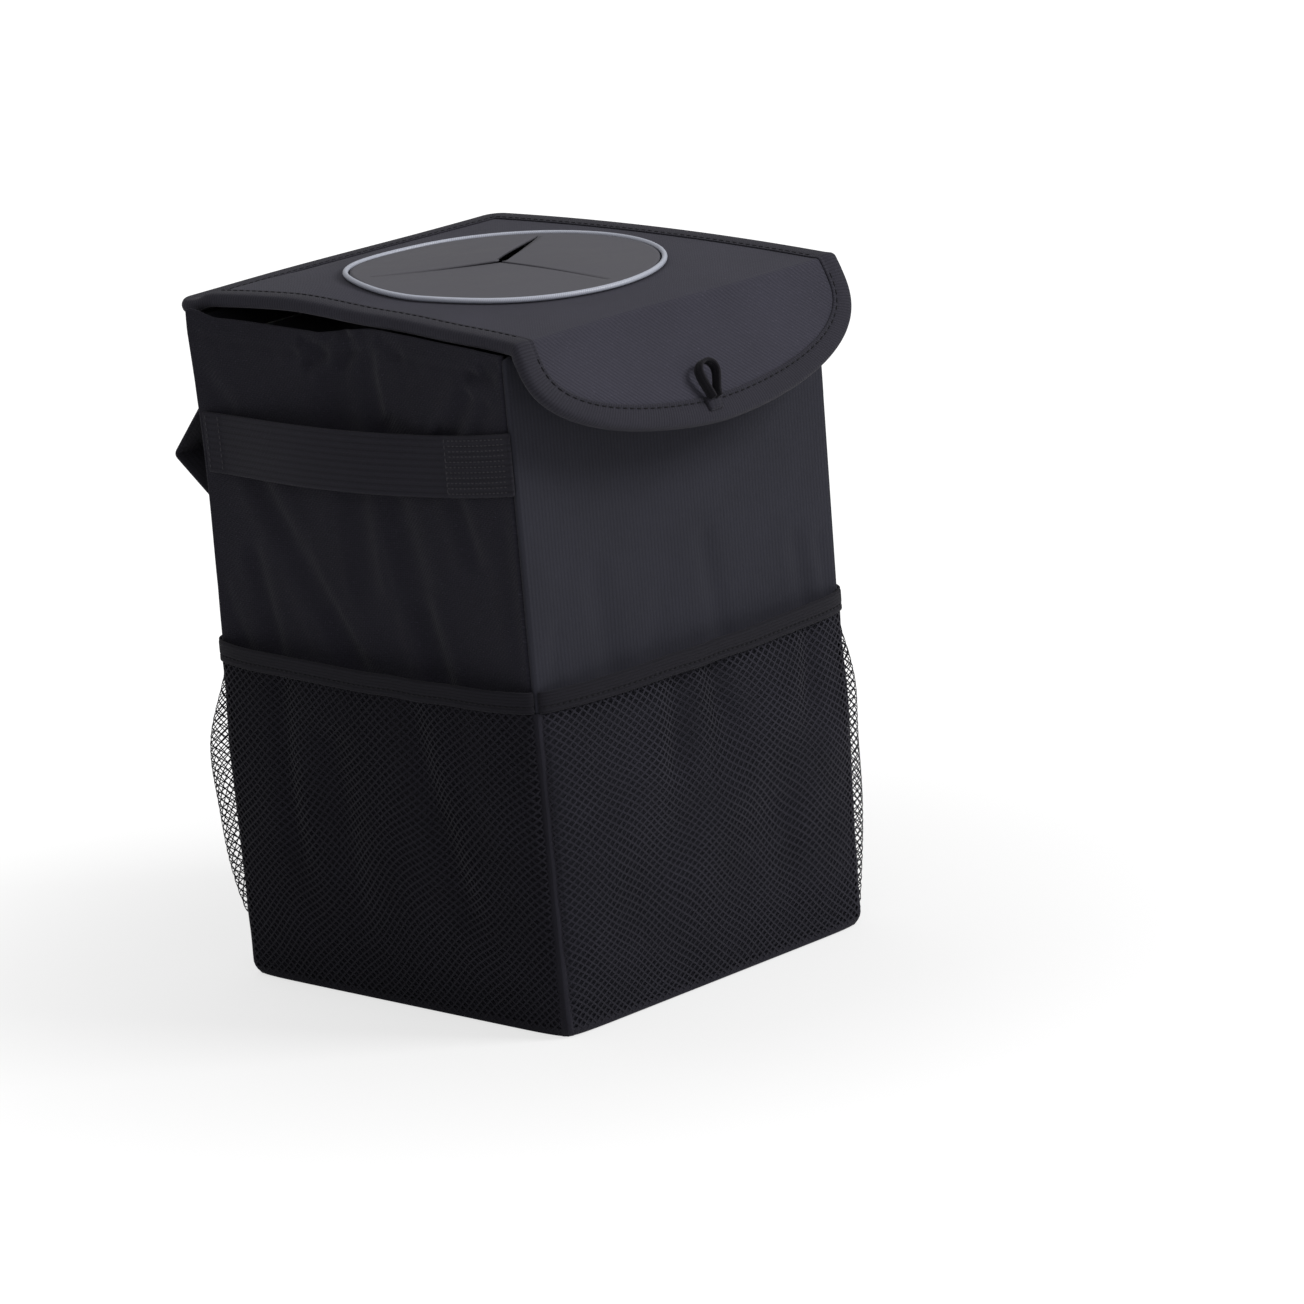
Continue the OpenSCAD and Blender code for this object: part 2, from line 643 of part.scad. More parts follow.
// Cover of the flap, with its top edge rolled about the fold
module flap_cover() {
    roll = [for (a = [90:15:270]) roll_r * [cos(a), sin(a)]];
    color(fabric_colour) on_flap() {
        translate([0, 0, -roll_r]) linear_extrude(fabric_t) flap_outline(binding_t, 0);
        rotate([90, 0, 90]) linear_extrude(flap_w - 2 * binding_t, center = true) polygon(roll);
    }
}

module flap_board() {
    color(board_colour) on_flap() translate([0, 0, -roll_r + fabric_t])
        linear_extrude(lid_board_t) flap_outline(binding_t, seat);
}

module flap_lining() {
    color(lining_colour) on_flap() translate([0, 0, roll_r - lid_lining_t])
        linear_extrude(lid_lining_t) flap_outline(binding_t, seat);
}

module flap_binding() {
    color(tape_colour) on_flap() difference() {
        translate([0, 0, -roll_r - binding_t]) linear_extrude(lid_t) flap_outline(0, flap_binding_start);
        translate([0, 0, -roll_r]) linear_extrude(stack_t) flap_outline(binding_t, 0);
        translate([0, 0, -roll_r - binding_t - eps]) linear_extrude(lid_t + 2 * eps)
            flap_outline(binding_w, 0);
    }
}

// Patch inside the flap that grips the one on the front wall
module closure_hook_patch() {
    color(tape_colour) on_flap() translate([-patch_w / 2, patch_from_fold, roll_r])
        cube([patch_w, patch_h, patch_t]);
}

// Pull loop: a cord bent back on itself, its ends held under a tack on the flap's binding
module pull_loop() {
    steps = 24;
    sides = 8;
    tack_y = flap_l - binding_w + 2;
    face = -roll_r - binding_t;
    foot = pull_r + seat;
    crown = pull_w / 2;
    straight = pull_l - crown;
    // Middle of the cord: up one leg, round the top and down the other leg
    function place(s) = let (
        turn = 180 * clamp((s - 0.3) / 0.4),
        leg = s < 0.3 ? s / 0.3 : s > 0.7 ? (1 - s) / 0.3 : 1,
        out = foot + (crown - foot) * smooth(leg),
        rise = straight * leg + crown * sin(turn))
        [out * (turn == 0 ? 1 : turn == 180 ? -1 : cos(turn)), tack_y - rise,
            face - pull_r - seat - pull_lift * smooth(rise / pull_l)];
    function ring_at(s) = let (
        p = place(s),
        ahead = place(min(1, s + 0.01)) - place(max(0, s - 0.01)),
        along = s == 0 ? [0, -1, 0] : s == 1 ? [0, 1, 0] : ahead / norm(ahead),
        across = cross(along, [0, 0, 1]),
        side = across / norm(across),
        up = cross(side, along))
        [for (k = [0:sides - 1]) p + pull_r * (cos(360 * k / sides) * side - sin(360 * k / sides) * up)];
    color(tape_colour) on_flap() {
        bar([for (k = [0:steps]) ring_at(k / steps)]);
        translate([-2 * pull_r - 2 * seat, tack_y - pull_r / 2, face - 2 * pull_r - 2 * seat])
            cube([4 * pull_r + 4 * seat, tack_l, 2 * pull_r + 2 * seat]);
    }
}

base_panel();
base_board();
front_board();
back_board();
lining();
lining_floor();
front_panel();
back_panel();
left_panel();
right_panel();
front_pocket_net();
left_pocket_net();
right_pocket_net();
back_pocket_net();
front_pocket_hem();
left_pocket_hem();
right_pocket_hem();
back_pocket_hem();
left_side_handle();
right_side_handle();
back_loop_left();
back_loop_right();
closure_loop_patch();
lid_hinge_tape();
lid_cover();
lid_board();
lid_lining();
lid_binding();
membrane();
piping_ring();
flap_cover();
flap_board();
flap_lining();
flap_binding();
pull_loop();
closure_hook_patch();
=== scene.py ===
"""Car trash bin: the looks of a square fabric bin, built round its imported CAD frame.

Places are worked out in millimetres, in the frame's own axes: +Z up, the front faces -Y, the
origin is at the middle of the base. Each mesh is made in metres.
"""

import bmesh
import bpy
import numpy as np
from mathutils import Matrix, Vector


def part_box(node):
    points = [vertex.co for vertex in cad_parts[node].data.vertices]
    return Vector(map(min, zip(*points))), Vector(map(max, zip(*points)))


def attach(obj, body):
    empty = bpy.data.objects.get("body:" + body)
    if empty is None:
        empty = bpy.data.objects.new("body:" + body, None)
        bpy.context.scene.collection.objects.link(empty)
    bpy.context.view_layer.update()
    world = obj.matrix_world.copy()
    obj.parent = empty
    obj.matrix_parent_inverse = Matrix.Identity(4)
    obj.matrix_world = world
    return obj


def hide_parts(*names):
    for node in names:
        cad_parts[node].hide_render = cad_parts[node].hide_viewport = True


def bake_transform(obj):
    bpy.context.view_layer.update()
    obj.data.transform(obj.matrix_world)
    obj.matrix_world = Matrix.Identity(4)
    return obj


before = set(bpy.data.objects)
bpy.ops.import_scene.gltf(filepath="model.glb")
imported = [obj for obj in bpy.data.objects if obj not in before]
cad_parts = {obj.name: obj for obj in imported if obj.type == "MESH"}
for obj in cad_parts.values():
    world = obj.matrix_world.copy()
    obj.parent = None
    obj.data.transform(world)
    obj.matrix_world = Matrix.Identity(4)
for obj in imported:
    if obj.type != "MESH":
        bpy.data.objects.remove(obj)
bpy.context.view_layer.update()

# ------------------------------
# Camera and studio. The camera stands where the photograph was taken from: in front of the near
# left corner and a little above the lid. A white floor, a white surround and three soft lamps.
CAMERA_AXES = ((0.67397, 0.2361, -0.70002), (-0.73526, 0.12225, -0.66667), (-0.07182, 0.96401, 0.25599))
CAMERA_PLACE = (-1.97049, -1.93316, 0.83711)
FLOOR_RADIUS = 12              # metres


def put(name, data):
    """An object with this data, linked into the scene."""
    thing = bpy.data.objects.new(name, data)
    bpy.context.scene.collection.objects.link(thing)
    return thing


def unit(a):
    """Arrows of length one."""
    return a / np.maximum(np.linalg.norm(a, axis=-1, keepdims=True), 1e-9)


def spread(low, high, count):
    """Evenly spaced places, both ends among them."""
    return np.linspace(low, high, count)


def degrees(low, high, count):
    """Evenly spaced angles in radians, from one in degrees to another."""
    return np.radians(spread(low, high, count))


def soft_lamp(name, place, aim, size, power):
    """A square area lamp that looks at a point."""
    light = bpy.data.lights.new(name, "AREA")
    light.size, light.energy = size, power
    back = unit(np.subtract(place, aim))
    side = unit(np.cross([0, 0, 1], back))
    axes = Matrix(np.stack([side, np.cross(back, side), back], 1).tolist()).to_4x4()
    put(name, light).matrix_world = Matrix.Translation(place) @ axes


def wire(tree, kind, sources=(), **settings):
    """The outputs of a new node, with its plain values set and its inputs linked or filled, in
    order or by name. A source is a socket, a value, or None, which leaves the input as it is."""
    node = tree.nodes.new(kind)
    for key, value in settings.items():
        setattr(node, key, value)
    for key, source in sources.items() if isinstance(sources, dict) else enumerate(sources):
        if isinstance(source, bpy.types.NodeSocket):
            tree.links.new(source, node.inputs[key])
        elif source is not None:
            node.inputs[key].default_value = source
    return node.outputs


def math(tree, operation, *sources):
    """One Math node's result."""
    return wire(tree, "ShaderNodeMath", sources, operation=operation)[0]


def new_material(name):
    """A material without nodes, and the tree to add them to."""
    material = bpy.data.materials.new(name)
    material.use_nodes = True
    material.node_tree.nodes.clear()
    return material, material.node_tree


lens = bpy.data.cameras.new("camera")
lens.lens, lens.sensor_width, lens.clip_end = 223.78, 36, 60
camera = put("camera", lens)
camera.matrix_world = Matrix.Translation(CAMERA_PLACE) @ Matrix(CAMERA_AXES).to_4x4()
bpy.context.scene.camera = camera
bpy.context.scene.view_settings.view_transform = "Standard"

soft_lamp("key_lamp", (0.75, -1.35, 1.25), (0, 0, 0.14), 0.7, 19)
soft_lamp("top_lamp", (0.1, 0.5, 1.7), (0, 0, 0.2), 0.9, 4)
soft_lamp("left_lamp", (-1.3, -0.9, 0.9), (0, 0, 0.12), 0.5, 1.6)

world = bpy.data.worlds.new("white_surround")
world.use_nodes = True
bpy.context.scene.world = world
air = world.node_tree
air.nodes.clear()
rays = wire(air, "ShaderNodeLightPath")
seen = math(air, "MAXIMUM", rays["Is Camera Ray"], rays["Is Transmission Ray"])
level = wire(air, "ShaderNodeMapRange", [seen, None, None, 0.42])
surround = wire(air, "ShaderNodeBackground", {"Strength": level[0]})
wire(air, "ShaderNodeOutputWorld", [surround[0]])

# The floor takes the bin's shadow near it, and is plain white to the camera further out.
white_floor, tree = new_material("white_floor")
paint = wire(tree, "ShaderNodeBsdfDiffuse", [(0.9, 0.9, 0.9, 1)])
glow = wire(tree, "ShaderNodeEmission", {"Strength": 1.12})
place = wire(tree, "ShaderNodeTexCoord")["Object"]
away = wire(tree, "ShaderNodeVectorMath", [place], operation="LENGTH")["Value"]
fade = wire(tree, "ShaderNodeMapRange", [away, 0.12, 0.42, 0.62], interpolation_type="SMOOTHSTEP")
seen = math(tree, "MULTIPLY", fade[0], wire(tree, "ShaderNodeLightPath")["Is Camera Ray"])
blend = wire(tree, "ShaderNodeMixShader", [seen, paint[0], glow[0]])
wire(tree, "ShaderNodeOutputMaterial", [blend[0]])

turn = degrees(0, 360, 65)[:-1]
rim = FLOOR_RADIUS * np.stack([np.cos(turn), np.sin(turn), 0 * turn], 1)
floor_mesh = bpy.data.meshes.new("floor")
floor_mesh.from_pydata(rim.tolist(), [], [list(range(64))])
floor_mesh.materials.append(white_floor)
put("floor", floor_mesh)

# ------------------------------
# Base cloth. One square of the wall cloth closes the bin underneath, over a plastic board. Its
# edge is turned in and sewn to the four walls, which leaves a soft rounded edge.
MM = 0.001                     # a millimetre in metres
HALF = 76.5                    # half width of the bin, to the outer faces of its walls
CLOTH = 1.2                    # thickness of the outer cloth


def at(*places):
    """Points from their places along each axis, spread over one grid."""
    return np.stack(np.broadcast_arrays(*places), -1)


def join(*parts):
    """Rows of numbers, one after another."""
    return np.concatenate(parts)


def limited(x):
    """The number held between 0 and 1."""
    return np.clip(x, 0, 1)


def run(points):
    """Distance travelled along a row of points."""
    steps = np.linalg.norm(np.diff(points, axis=0), axis=-1)
    return join([0], np.cumsum(steps))


def lean(points):
    """The bin isn't quite square: its soft left side bulges out, more so higher up, the near left
    corner is drawn back, the far left one flares at the top, and all four are rounded at the
    foot. x moves by -3.3(1 - e^(-z/90)) at the left side, fading to 0 at x = 30, and y by
    2.1(z/235)^2 at the near corner."""
    x, y, z = np.moveaxis(points, -1, 0)
    left = limited(-x / HALF)
    out = 3.3 * (1 - np.exp(-np.maximum(z, 0) / 90)) * limited((30 - x) / 106.5)
    back = 2.1 * limited(z / 235) ** 2 * (left * limited(-y / HALF)) ** 2
    flare = (limited((z - 165) / 70) * left * limited(y / HALF)) ** 2
    foot = 2 * limited(abs(x * y) / HALF ** 2) ** 12 * limited(1 - z / 5) ** 2
    return points + at(-out - 3.5 * flare - foot * np.sign(x), back - foot * np.sign(y), 0)


def cloth_mesh(name, points, faces, lengths, material):
    """A smooth mesh in metres from points and their cloth lengths, both in mm."""
    mesh = bpy.data.meshes.new(name)
    mesh.from_pydata((points * MM).tolist(), [], faces.tolist())
    layer = mesh.uv_layers.new(name="cloth_mm")
    layer.data.foreach_set("uv", lengths[faces].astype(np.float32).ravel())
    mesh.polygons.foreach_set("use_smooth", np.ones(len(mesh.polygons), bool))
    mesh.materials.append(material)
    return mesh


def sew(name, patches, material, body=None, weld=0.003):
    """One piece from grids of points in mm. A patch is (points, uv), where points is
    [..., rows, columns, 3] and each small square of four neighbours is one face, and uv is the
    same grid's cloth length in mm. Points closer than weld are the same point, which closes the
    seams and the poles."""
    spots, faces, lengths, start = [], [], [], 0
    for points, uv in patches:
        rows, columns = points.shape[-3:-1]
        block = points.reshape(-1, rows, columns, 3)
        count = start + np.arange(block[..., 0].size).reshape(block.shape[:3])
        start += count.size
        square = [count[:, :-1, :-1], count[:, :-1, 1:], count[:, 1:, 1:], count[:, 1:, :-1]]
        faces.append(np.stack(square, -1).reshape(-1, 4))
        spots.append(block.reshape(-1, 3))
        lengths.append(np.broadcast_to(uv, block.shape[:3] + (2,)).reshape(-1, 2))
    mesh = cloth_mesh(name, *(np.concatenate(a) for a in (spots, faces, lengths)), material)
    shell = bmesh.new()
    shell.from_mesh(mesh)
    bmesh.ops.remove_doubles(shell, verts=shell.verts, dist=weld * MM)
    bmesh.ops.recalc_face_normals(shell, faces=shell.faces)
    shell.to_mesh(mesh)
    shell.free()
    piece = put(name, mesh)
    if body:
        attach(piece, body)
    return piece


def dress(piece, slot, *nodes):
    """Hides these CAD nodes, whose place the piece takes. The slot is not used."""
    if nodes:
        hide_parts(*nodes)


def slab(middle, half):
    """Closed sheet of cloth round a grid of middle points. Each row runs over the face, which is
    the middle plus half its thickness along the normal, round the side edge in a half circle,
    and back underneath. The first and last rows shrink to a line in the same half circle."""
    half = np.broadcast_to(np.asarray(half, float), middle.shape[:2])
    along = unit(np.gradient(middle, axis=0))
    across = unit(np.gradient(middle, axis=1))
    up = unit(np.cross(across, along))
    rim = 3                    # steps from the face to the edge of the half circle
    turn = spread(0, np.pi / 2, rim + 1)[:-1]
    out, size = np.cos(turn)[:, None, None], np.sin(turn)[:, None]
    head = middle[0] - along[0] * half[0][:, None] * out
    tail = middle[-1] + along[-1] * half[-1][:, None] * out[::-1]
    middle = join(head, middle, tail)
    half = join(half[0] * size, half, half[-1] * size[::-1])[..., None]
    across, up = (join(np.repeat(a[:1], rim, 0), a, np.repeat(a[-1:], rim, 0))
                  for a in (across, up))
    round_ = spread(np.pi / 2, -np.pi / 2, 2 * rim + 1)[1:-1]
    cos, sin = np.cos(round_)[None, :, None], np.sin(round_)[None, :, None]
    right = middle[:, -1:] + half[:, -1:] * (across[:, -1:] * cos + up[:, -1:] * sin)
    left = middle[:, :1] + half[:, :1] * (-across[:, :1] * cos - up[:, :1] * sin)
    over, under = middle + half * up, (middle - half * up)[:, ::-1]
    loop = np.concatenate([over, right, under, left, over[:, :1]], 1)
    rows, columns = over.shape[:2]
    u, v = run(over[rows // 2]), run(over[:, columns // 2])
    edge = np.ones(right.shape[1])
    u = join(u, u[-1] * edge, u[::-1], 0 * edge, [0])
    return loop, at(u, v[:, None])


def cloth_group(name, inputs, outputs):
    """An empty node group with named sockets, and the sockets at its start and its end."""
    group = bpy.data.node_groups.new(name, "ShaderNodeTree")
    for label, kind, value in inputs:
        socket = group.interface.new_socket(label, in_out="INPUT", socket_type="NodeSocket" + kind)
        if value is not None:
            socket.default_value = value
    for label, kind in outputs:
        group.interface.new_socket(label, in_out="OUTPUT", socket_type="NodeSocket" + kind)
    return group, group.nodes.new("NodeGroupInput").outputs, group.nodes.new("NodeGroupOutput").inputs


def threads(tree, place):
    """Rounded threads side by side, one for each whole step of the place: |sin(pi place)|."""
    return math(tree, "ABSOLUTE", math(tree, "SINE", math(tree, "MULTIPLY", place, np.pi)))


def noise(tree, place, scale, detail):
    """Smooth random values from 0 to 1."""
    return wire(tree, "ShaderNodeTexNoise", {"Vector": place, "Scale": scale, "Detail": detail})[0]


def remap(tree, value, *ends):
    """A value carried from between the first two ends to between the other two."""
    return wire(tree, "ShaderNodeMapRange", [value, *ends])[0]


# Ribs: rounded threads lying side by side. The place is turned by Slant and divided by Pitch, and
# Height is 0 between threads and 1 on each.
ribs, start, end = cloth_group(
    "rib_lines", [("Place", "Vector", None), ("Pitch", "Float", 1.0), ("Slant", "Float", 0.0)],
    [("Height", "Float")])
turned = wire(ribs, "ShaderNodeVectorRotate", {"Vector": start["Place"], "Angle": start["Slant"]},
              rotation_type="Z_AXIS")
place = wire(ribs, "ShaderNodeSeparateXYZ", [turned[0]])
ribs.links.new(threads(ribs, math(ribs, "DIVIDE", place["X"], start["Pitch"])), end["Height"])

# Weave: two sets of threads at right angles that take turns on top, square by square.
weave, start, end = cloth_group(
    "plain_weave", [("Place", "Vector", None), ("Pitch", "Float", 0.6)], [("Height", "Float")])
scaled = wire(weave, "ShaderNodeVectorMath", {"Vector": start["Place"], "Scale": math(
    weave, "DIVIDE", 1.0, start["Pitch"])}, operation="SCALE")
place = wire(weave, "ShaderNodeSeparateXYZ", [scaled[0]])
warp, weft = threads(weave, place["X"]), threads(weave, place["Y"])
steps = math(weave, "ADD", math(weave, "FLOOR", place["X"]), math(weave, "FLOOR", place["Y"]))
over = math(weave, "FLOORED_MODULO", steps, 2.0)
mixed = wire(weave, "ShaderNodeMix", [over, None, warp, weft], data_type="FLOAT")
weave.links.new(mixed[0], end["Height"])

# Tone: cloth is never one flat colour. Broad faded patches, fine flecks of lint, and painted shade:
# threads drawn a little darker where they dip.
tone, start, end = cloth_group(
    "cloth_tone", [("Color", "Color", (0.05, 0.05, 0.06, 1)), ("Place", "Vector", None),
                   ("Threads", "Float", 1.0), ("Dip Shade", "Float", 0.35), ("Fade", "Float", 0.12),
                   ("Lint", "Float", 0.3)], [("Color", "Color"), ("Rough", "Float")])
patches = noise(tone, start["Place"], 0.035, 4)
patchy = math(tone, "MULTIPLY", math(tone, "SUBTRACT", patches, 0.5), start["Fade"])
flecks = remap(tone, noise(tone, start["Place"], 1.3, 2), 0.62, 0.78, 0.0, 1.0)
linty = math(tone, "MULTIPLY", flecks, start["Lint"])
# Painted shade: the threads are darkened where they dip.
painted_dip_shade = math(tone, "MULTIPLY", math(tone, "SUBTRACT", start["Threads"], 0.6), start["Dip Shade"])
gain = math(tone, "ADD", math(tone, "ADD", math(tone, "MULTIPLY", patchy, 4.0), 1.0),
            math(tone, "ADD", linty, painted_dip_shade))
tinted = wire(tone, "ShaderNodeVectorMath", {"Vector": start["Color"], "Scale": gain}, operation="SCALE")
tone.links.new(tinted[0], end["Color"])
tone.links.new(math(tone, "ADD", 0.72, math(tone, "MULTIPLY", patches, 0.2)), end["Rough"])


def surface(tree, colour, rough, height, depth, plain):
    """A material's shader: its colour, roughness, the height that moves the normal by depth mm,
    and plain values for its other sockets."""
    relief = wire(tree, "ShaderNodeBump", {"Distance": depth * MM, "Height": height})[0]
    shader = wire(tree, "ShaderNodeBsdfPrincipled",
                  {"Base Color": colour, "Roughness": rough, "Normal": relief, **plain})
    wire(tree, "ShaderNodeOutputMaterial", [shader[0]])


def linear(*rgb):
    """Linear light from a colour as a screen shows it, 0 to 255."""
    c = np.array(rgb) / 255
    return tuple(np.where(c > 0.04045, ((c + 0.055) / 1.055) ** 2.4, c / 12.92)) + (1.0,)


def dyed_cloth(name, colour, thread=0.6, rib=0.0, slant=0.0, rib_share=0.5, depth=0.06, dip_shade=0.35, fade=0.1,
               lint=0.25, gloss=0.12, rough_by=0.0):
    """Cloth on the piece's own mm map: a plain weave of the given thread, with ribs laid over it
    where rib is above 0. The height moves the normal by depth mm, and painted shade darkens the dips."""
    material, tree = new_material(name)
    cloth = wire(tree, "ShaderNodeUVMap", uv_map="cloth_mm")[0]
    height = wire(tree, "ShaderNodeGroup", {"Place": cloth, "Pitch": thread}, node_tree=weave)[0]
    if rib:
        lines = wire(tree, "ShaderNodeGroup", {"Place": cloth, "Pitch": rib, "Slant": slant},
                     node_tree=ribs)[0]
        height = wire(tree, "ShaderNodeMix", [rib_share, None, height, lines], data_type="FLOAT")[0]
    dyed = wire(tree, "ShaderNodeGroup", {"Place": cloth, "Threads": height, "Dip Shade": dip_shade, "Fade": fade,
                                          "Lint": lint, "Color": linear(*colour)}, node_tree=tone)
    surface(tree, dyed["Color"], math(tree, "ADD", dyed["Rough"], rough_by), height, depth,
            {"Sheen Weight": 0.06, "Sheen Roughness": 0.45, "Specular IOR Level": gloss})
    return material


wall_cloth = dyed_cloth("wall_cloth", (46, 46, 54), rib=1.6, rib_share=0.55, depth=0.07, dip_shade=0.4, lint=0.4)

x, y = np.meshgrid(*[spread(-75.9, 75.9, 40)] * 2)
sag = 0.12 * np.sin(x / 17) * np.sin(y / 13 + 1)
base_cloth = sew("base_cloth", [slab(lean(at(x, y, 0.72 + sag)), 0.55)], wall_cloth, "bin")
dress(base_cloth, "wall_fabric", "base_panel")

# ------------------------------
# Boards. Five flat sheets of grey-white plastic stiffen the base, front, back, lid and flap. They
# are sewn in between cloth and lining. The base board is the frame's own plate in a board finish;
# front and back board lean with their walls, and the other two follow with the lid.
board_plastic, tree = new_material("board_plastic")
scuffs = noise(tree, wire(tree, "ShaderNodeTexCoord")["Object"], 180, 6)
tint = remap(tree, scuffs, 0.3, 0.7, 0.42, 0.54)
grey = wire(tree, "ShaderNodeCombineColor", [tint, tint, tint])[0]
surface(tree, grey, remap(tree, scuffs, 0.3, 0.7, 0.45, 0.65), scuffs, 0.2, {})
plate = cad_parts["base_board"].data
plate.materials.clear()
plate.materials.append(board_plastic)

for name, side in (("front_board", -1), ("back_board", 1)):
    low, high = np.array(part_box(name)) / MM
    x, z = np.meshgrid(spread(low[0] + 0.7, high[0] - 0.7, 40), spread(low[2] + 0.7, high[2] - 0.9, 60))
    plate = sew(name + "_sheet", [slab(lean(at(x, side * 74.05, z)), 0.65)], board_plastic, "bin")
    dress(plate, "board", name)

# ------------------------------
# Lining. Wipe-clean coated cloth: one strip goes round inside the boards and is sewn to a floor
# piece. It hangs a little slack, so it shows shallow wrinkles.
coated_cloth = dyed_cloth("coated_cloth", (74, 74, 80), thread=0.45, depth=0.02, dip_shade=0.1, lint=0.05,
                          gloss=0.35, rough_by=-0.28)


def bell(x, width):
    """A smooth bump of height 1 round 0."""
    return np.exp(-(x / width) ** 2)


def ease(x):
    """Smooth step from 0 to 1."""
    x = limited(x)
    return x * x * (3 - 2 * x)


def rounded_square(half_x, half_y, radius, side_steps, corner_steps):
    """Once round a rectangle with round corners, as points and outward arrows, from the middle of
    the back edge."""
    turn = degrees(0, 90, corner_steps) + np.pi / 2 * np.arange(1, 5)[:, None]
    arrow = at(np.cos(turn), np.sin(turn))
    centre = np.array([[-1, 1], [-1, -1], [1, -1], [1, 1]]) * [half_x - radius, half_y - radius]
    corner = centre[:, None] + radius * arrow
    last, after = corner[:, -1:], np.roll(corner, -1, 0)[:, :1]
    side = last + spread(0, 1, side_steps)[1:-1, None] * (after - last)
    loop = np.concatenate([corner, side], 1).reshape(-1, 2)
    normal = np.concatenate([arrow, np.repeat(arrow[:, -1:], side_steps - 2, 1)], 1).reshape(-1, 2)
    shift = corner_steps + side_steps // 2
    return np.roll(loop, shift, 0), np.roll(normal, shift, 0)


loop, normal = (join(a, a[:1]) for a in rounded_square(70.6, 72.9, 3.0, 42, 6))
z = spread(4.5, 230.3, 48)[:, None]
around = run(loop)
slack = (0.7 * bell(np.sin(around / 31 + 0.9 * np.sin(z / 60)), 0.35)
         + 0.5 * bell(np.sin(z / 23 + around / 47), 0.3)) * ease((z - 4) / 18) * ease((231 - z) / 14)
inside = loop - normal * slack[..., None]
lining_strip = sew("lining_strip", [slab(at(inside[..., 0], inside[..., 1], z), 0.4)], coated_cloth, "bin")
dress(lining_strip, "lining", "lining")

x, y = np.meshgrid(spread(-70.4, 70.4, 50), spread(-72.7, 72.7, 50))
z = 3.62 + 0.25 * np.sin(x / 9 + 2 * np.sin(y / 21)) * bell(np.sin(y / 26), 0.6)
lining_bottom = sew("lining_bottom", [slab(at(x, y, z), 0.38)], coated_cloth, "bin")
dress(lining_bottom, "lining", "lining_floor")

# ------------------------------
# Front and back wall. Woven polyester with faint upright ribs, stretched over a board. The upper
# edge is turned in over the board and sewn down inside; the upright edges roll into a seam.
ROLL = 1.5                     # radius of the rolled edges
TURN = ROLL - CLOTH / 2        # the same for the middle line of the cloth


def foot_roll():
    """A wall's lower edge, rolled in by a quarter turn: how far back it lies, and its height."""
    turn = degrees(88, 0, 6)
    return TURN * (1 - np.cos(turn)), 1.4 + ROLL - TURN * np.sin(turn)


def across_wall(columns, low_short, high_short):
    """Places across a wall that ends short of the corners: the distance from its middle, and how
    far the rolled edge has fallen back from the face, on the middle line of the cloth."""
    turn = degrees(0, 88, 7)[1:]
    side, back = HALF - ROLL + TURN * np.sin(turn), TURN * (1 - np.cos(turn))
    middle = spread(ROLL + low_short - HALF, HALF - ROLL - high_short, columns)
    return (join(low_short - side[::-1], middle, side - high_short),
            join(back[::-1], 0 * middle, back))


# Dents of the front wall just above the pocket's hem: place across and height of the upper end,
# the same for the lower end, width, depth.
front_dents = np.array([
    [-45, 160, -38, 112, 4.5, 1.1], [8, 162, 17, 112, 4.5, 1.2], [55, 150, 59, 116, 3.5, 1.0],
    [67, 146, 71, 120, 2.5, 0.9], [-64, 146, -69, 112, 3.0, 0.7], [-14, 146, -18, 114, 5, 0.5]])


def creased(lines, y, z):
    """How far cloth sinks in at (y, z): a bell across each crease, faded past its ends, with a low
    ridge beside it, and broad slackness. It never sinks more than the 4 mm of room."""
    top, low = lines[:, None, None, 0:2], lines[:, None, None, 2:4]
    place = at(y, z)[None]
    arrow, length = unit(low - top), np.linalg.norm(low - top, axis=-1)
    down = ((place - top) * arrow).sum(-1)
    off = (place - top)[..., 0] * arrow[..., 1] - (place - top)[..., 1] * arrow[..., 0]
    width, depth = lines[:, 4, None, None], lines[:, 5, None, None]
    ends = ease(down / (0.2 * length) + 0.4) * ease((length - down) / (0.3 * length) + 0.4)
    dips = depth * ends * (bell(off, width) - 0.25 * bell(abs(off) - 2.1 * width, 1.1 * width))
    slack = 0.7 + 0.35 * np.sin(y / 19 + 0.7) * np.sin(z / 33) + 0.12 * np.sin(y / 7.3 + z / 17)
    total = np.maximum(dips.sum(0) + slack, 0)
    return 4 * (1 - np.exp(-total / 4))


def stiff_wall(name, side, short, node, dents):
    """A wall that faces -Y (side 1) or +Y (side -1). The profile goes up the face, over the board
    in two small quarter turns and down inside as the hem, and is carried across the wall."""
    low_back, low_z = foot_roll()
    over = degrees(180, 90, 7)[1:]
    into = degrees(90, 0, 6)
    back = join(0.6 + low_back, np.full(90, 0.6), 1.5 + 0.9 * np.cos(over),
                spread(1.5, 3.0, 4)[1:-1], 3.0 + 0.45 * np.cos(into), np.full(8, 3.45))
    up = join(low_z, spread(low_z[-1], 238.85, 91)[1:], 238.85 + 0.9 * np.sin(over),
              [239.75, 239.75], 239.3 + 0.45 * np.sin(into), spread(239.3, 231.4, 9)[1:])
    row = np.arange(len(up))
    half = np.interp(row, [0, 95, 103, len(up)], [0.6, 0.6, 0.25, 0.25])
    x, rolled = across_wall(60, short, short)
    narrow = np.interp(row, [95, 100], [1, 71.5 / x[-1]])
    x, back, z = x * narrow[:, None], back[:, None] + rolled, np.repeat(up[:, None], len(x), 1)
    sunk = np.clip(creased(dents, x, z) - 1.0, -0.7, 0.55) * ease((75 - abs(x)) / 8) * ease((232 - z) / 20)
    back = back + np.where(back < 1, sunk, 0)
    middle = at(side * x, side * (-HALF + back), z)
    wall = sew(name, [slab(lean(middle), half[:, None])], wall_cloth, "bin")
    dress(wall, "wall_fabric", node)


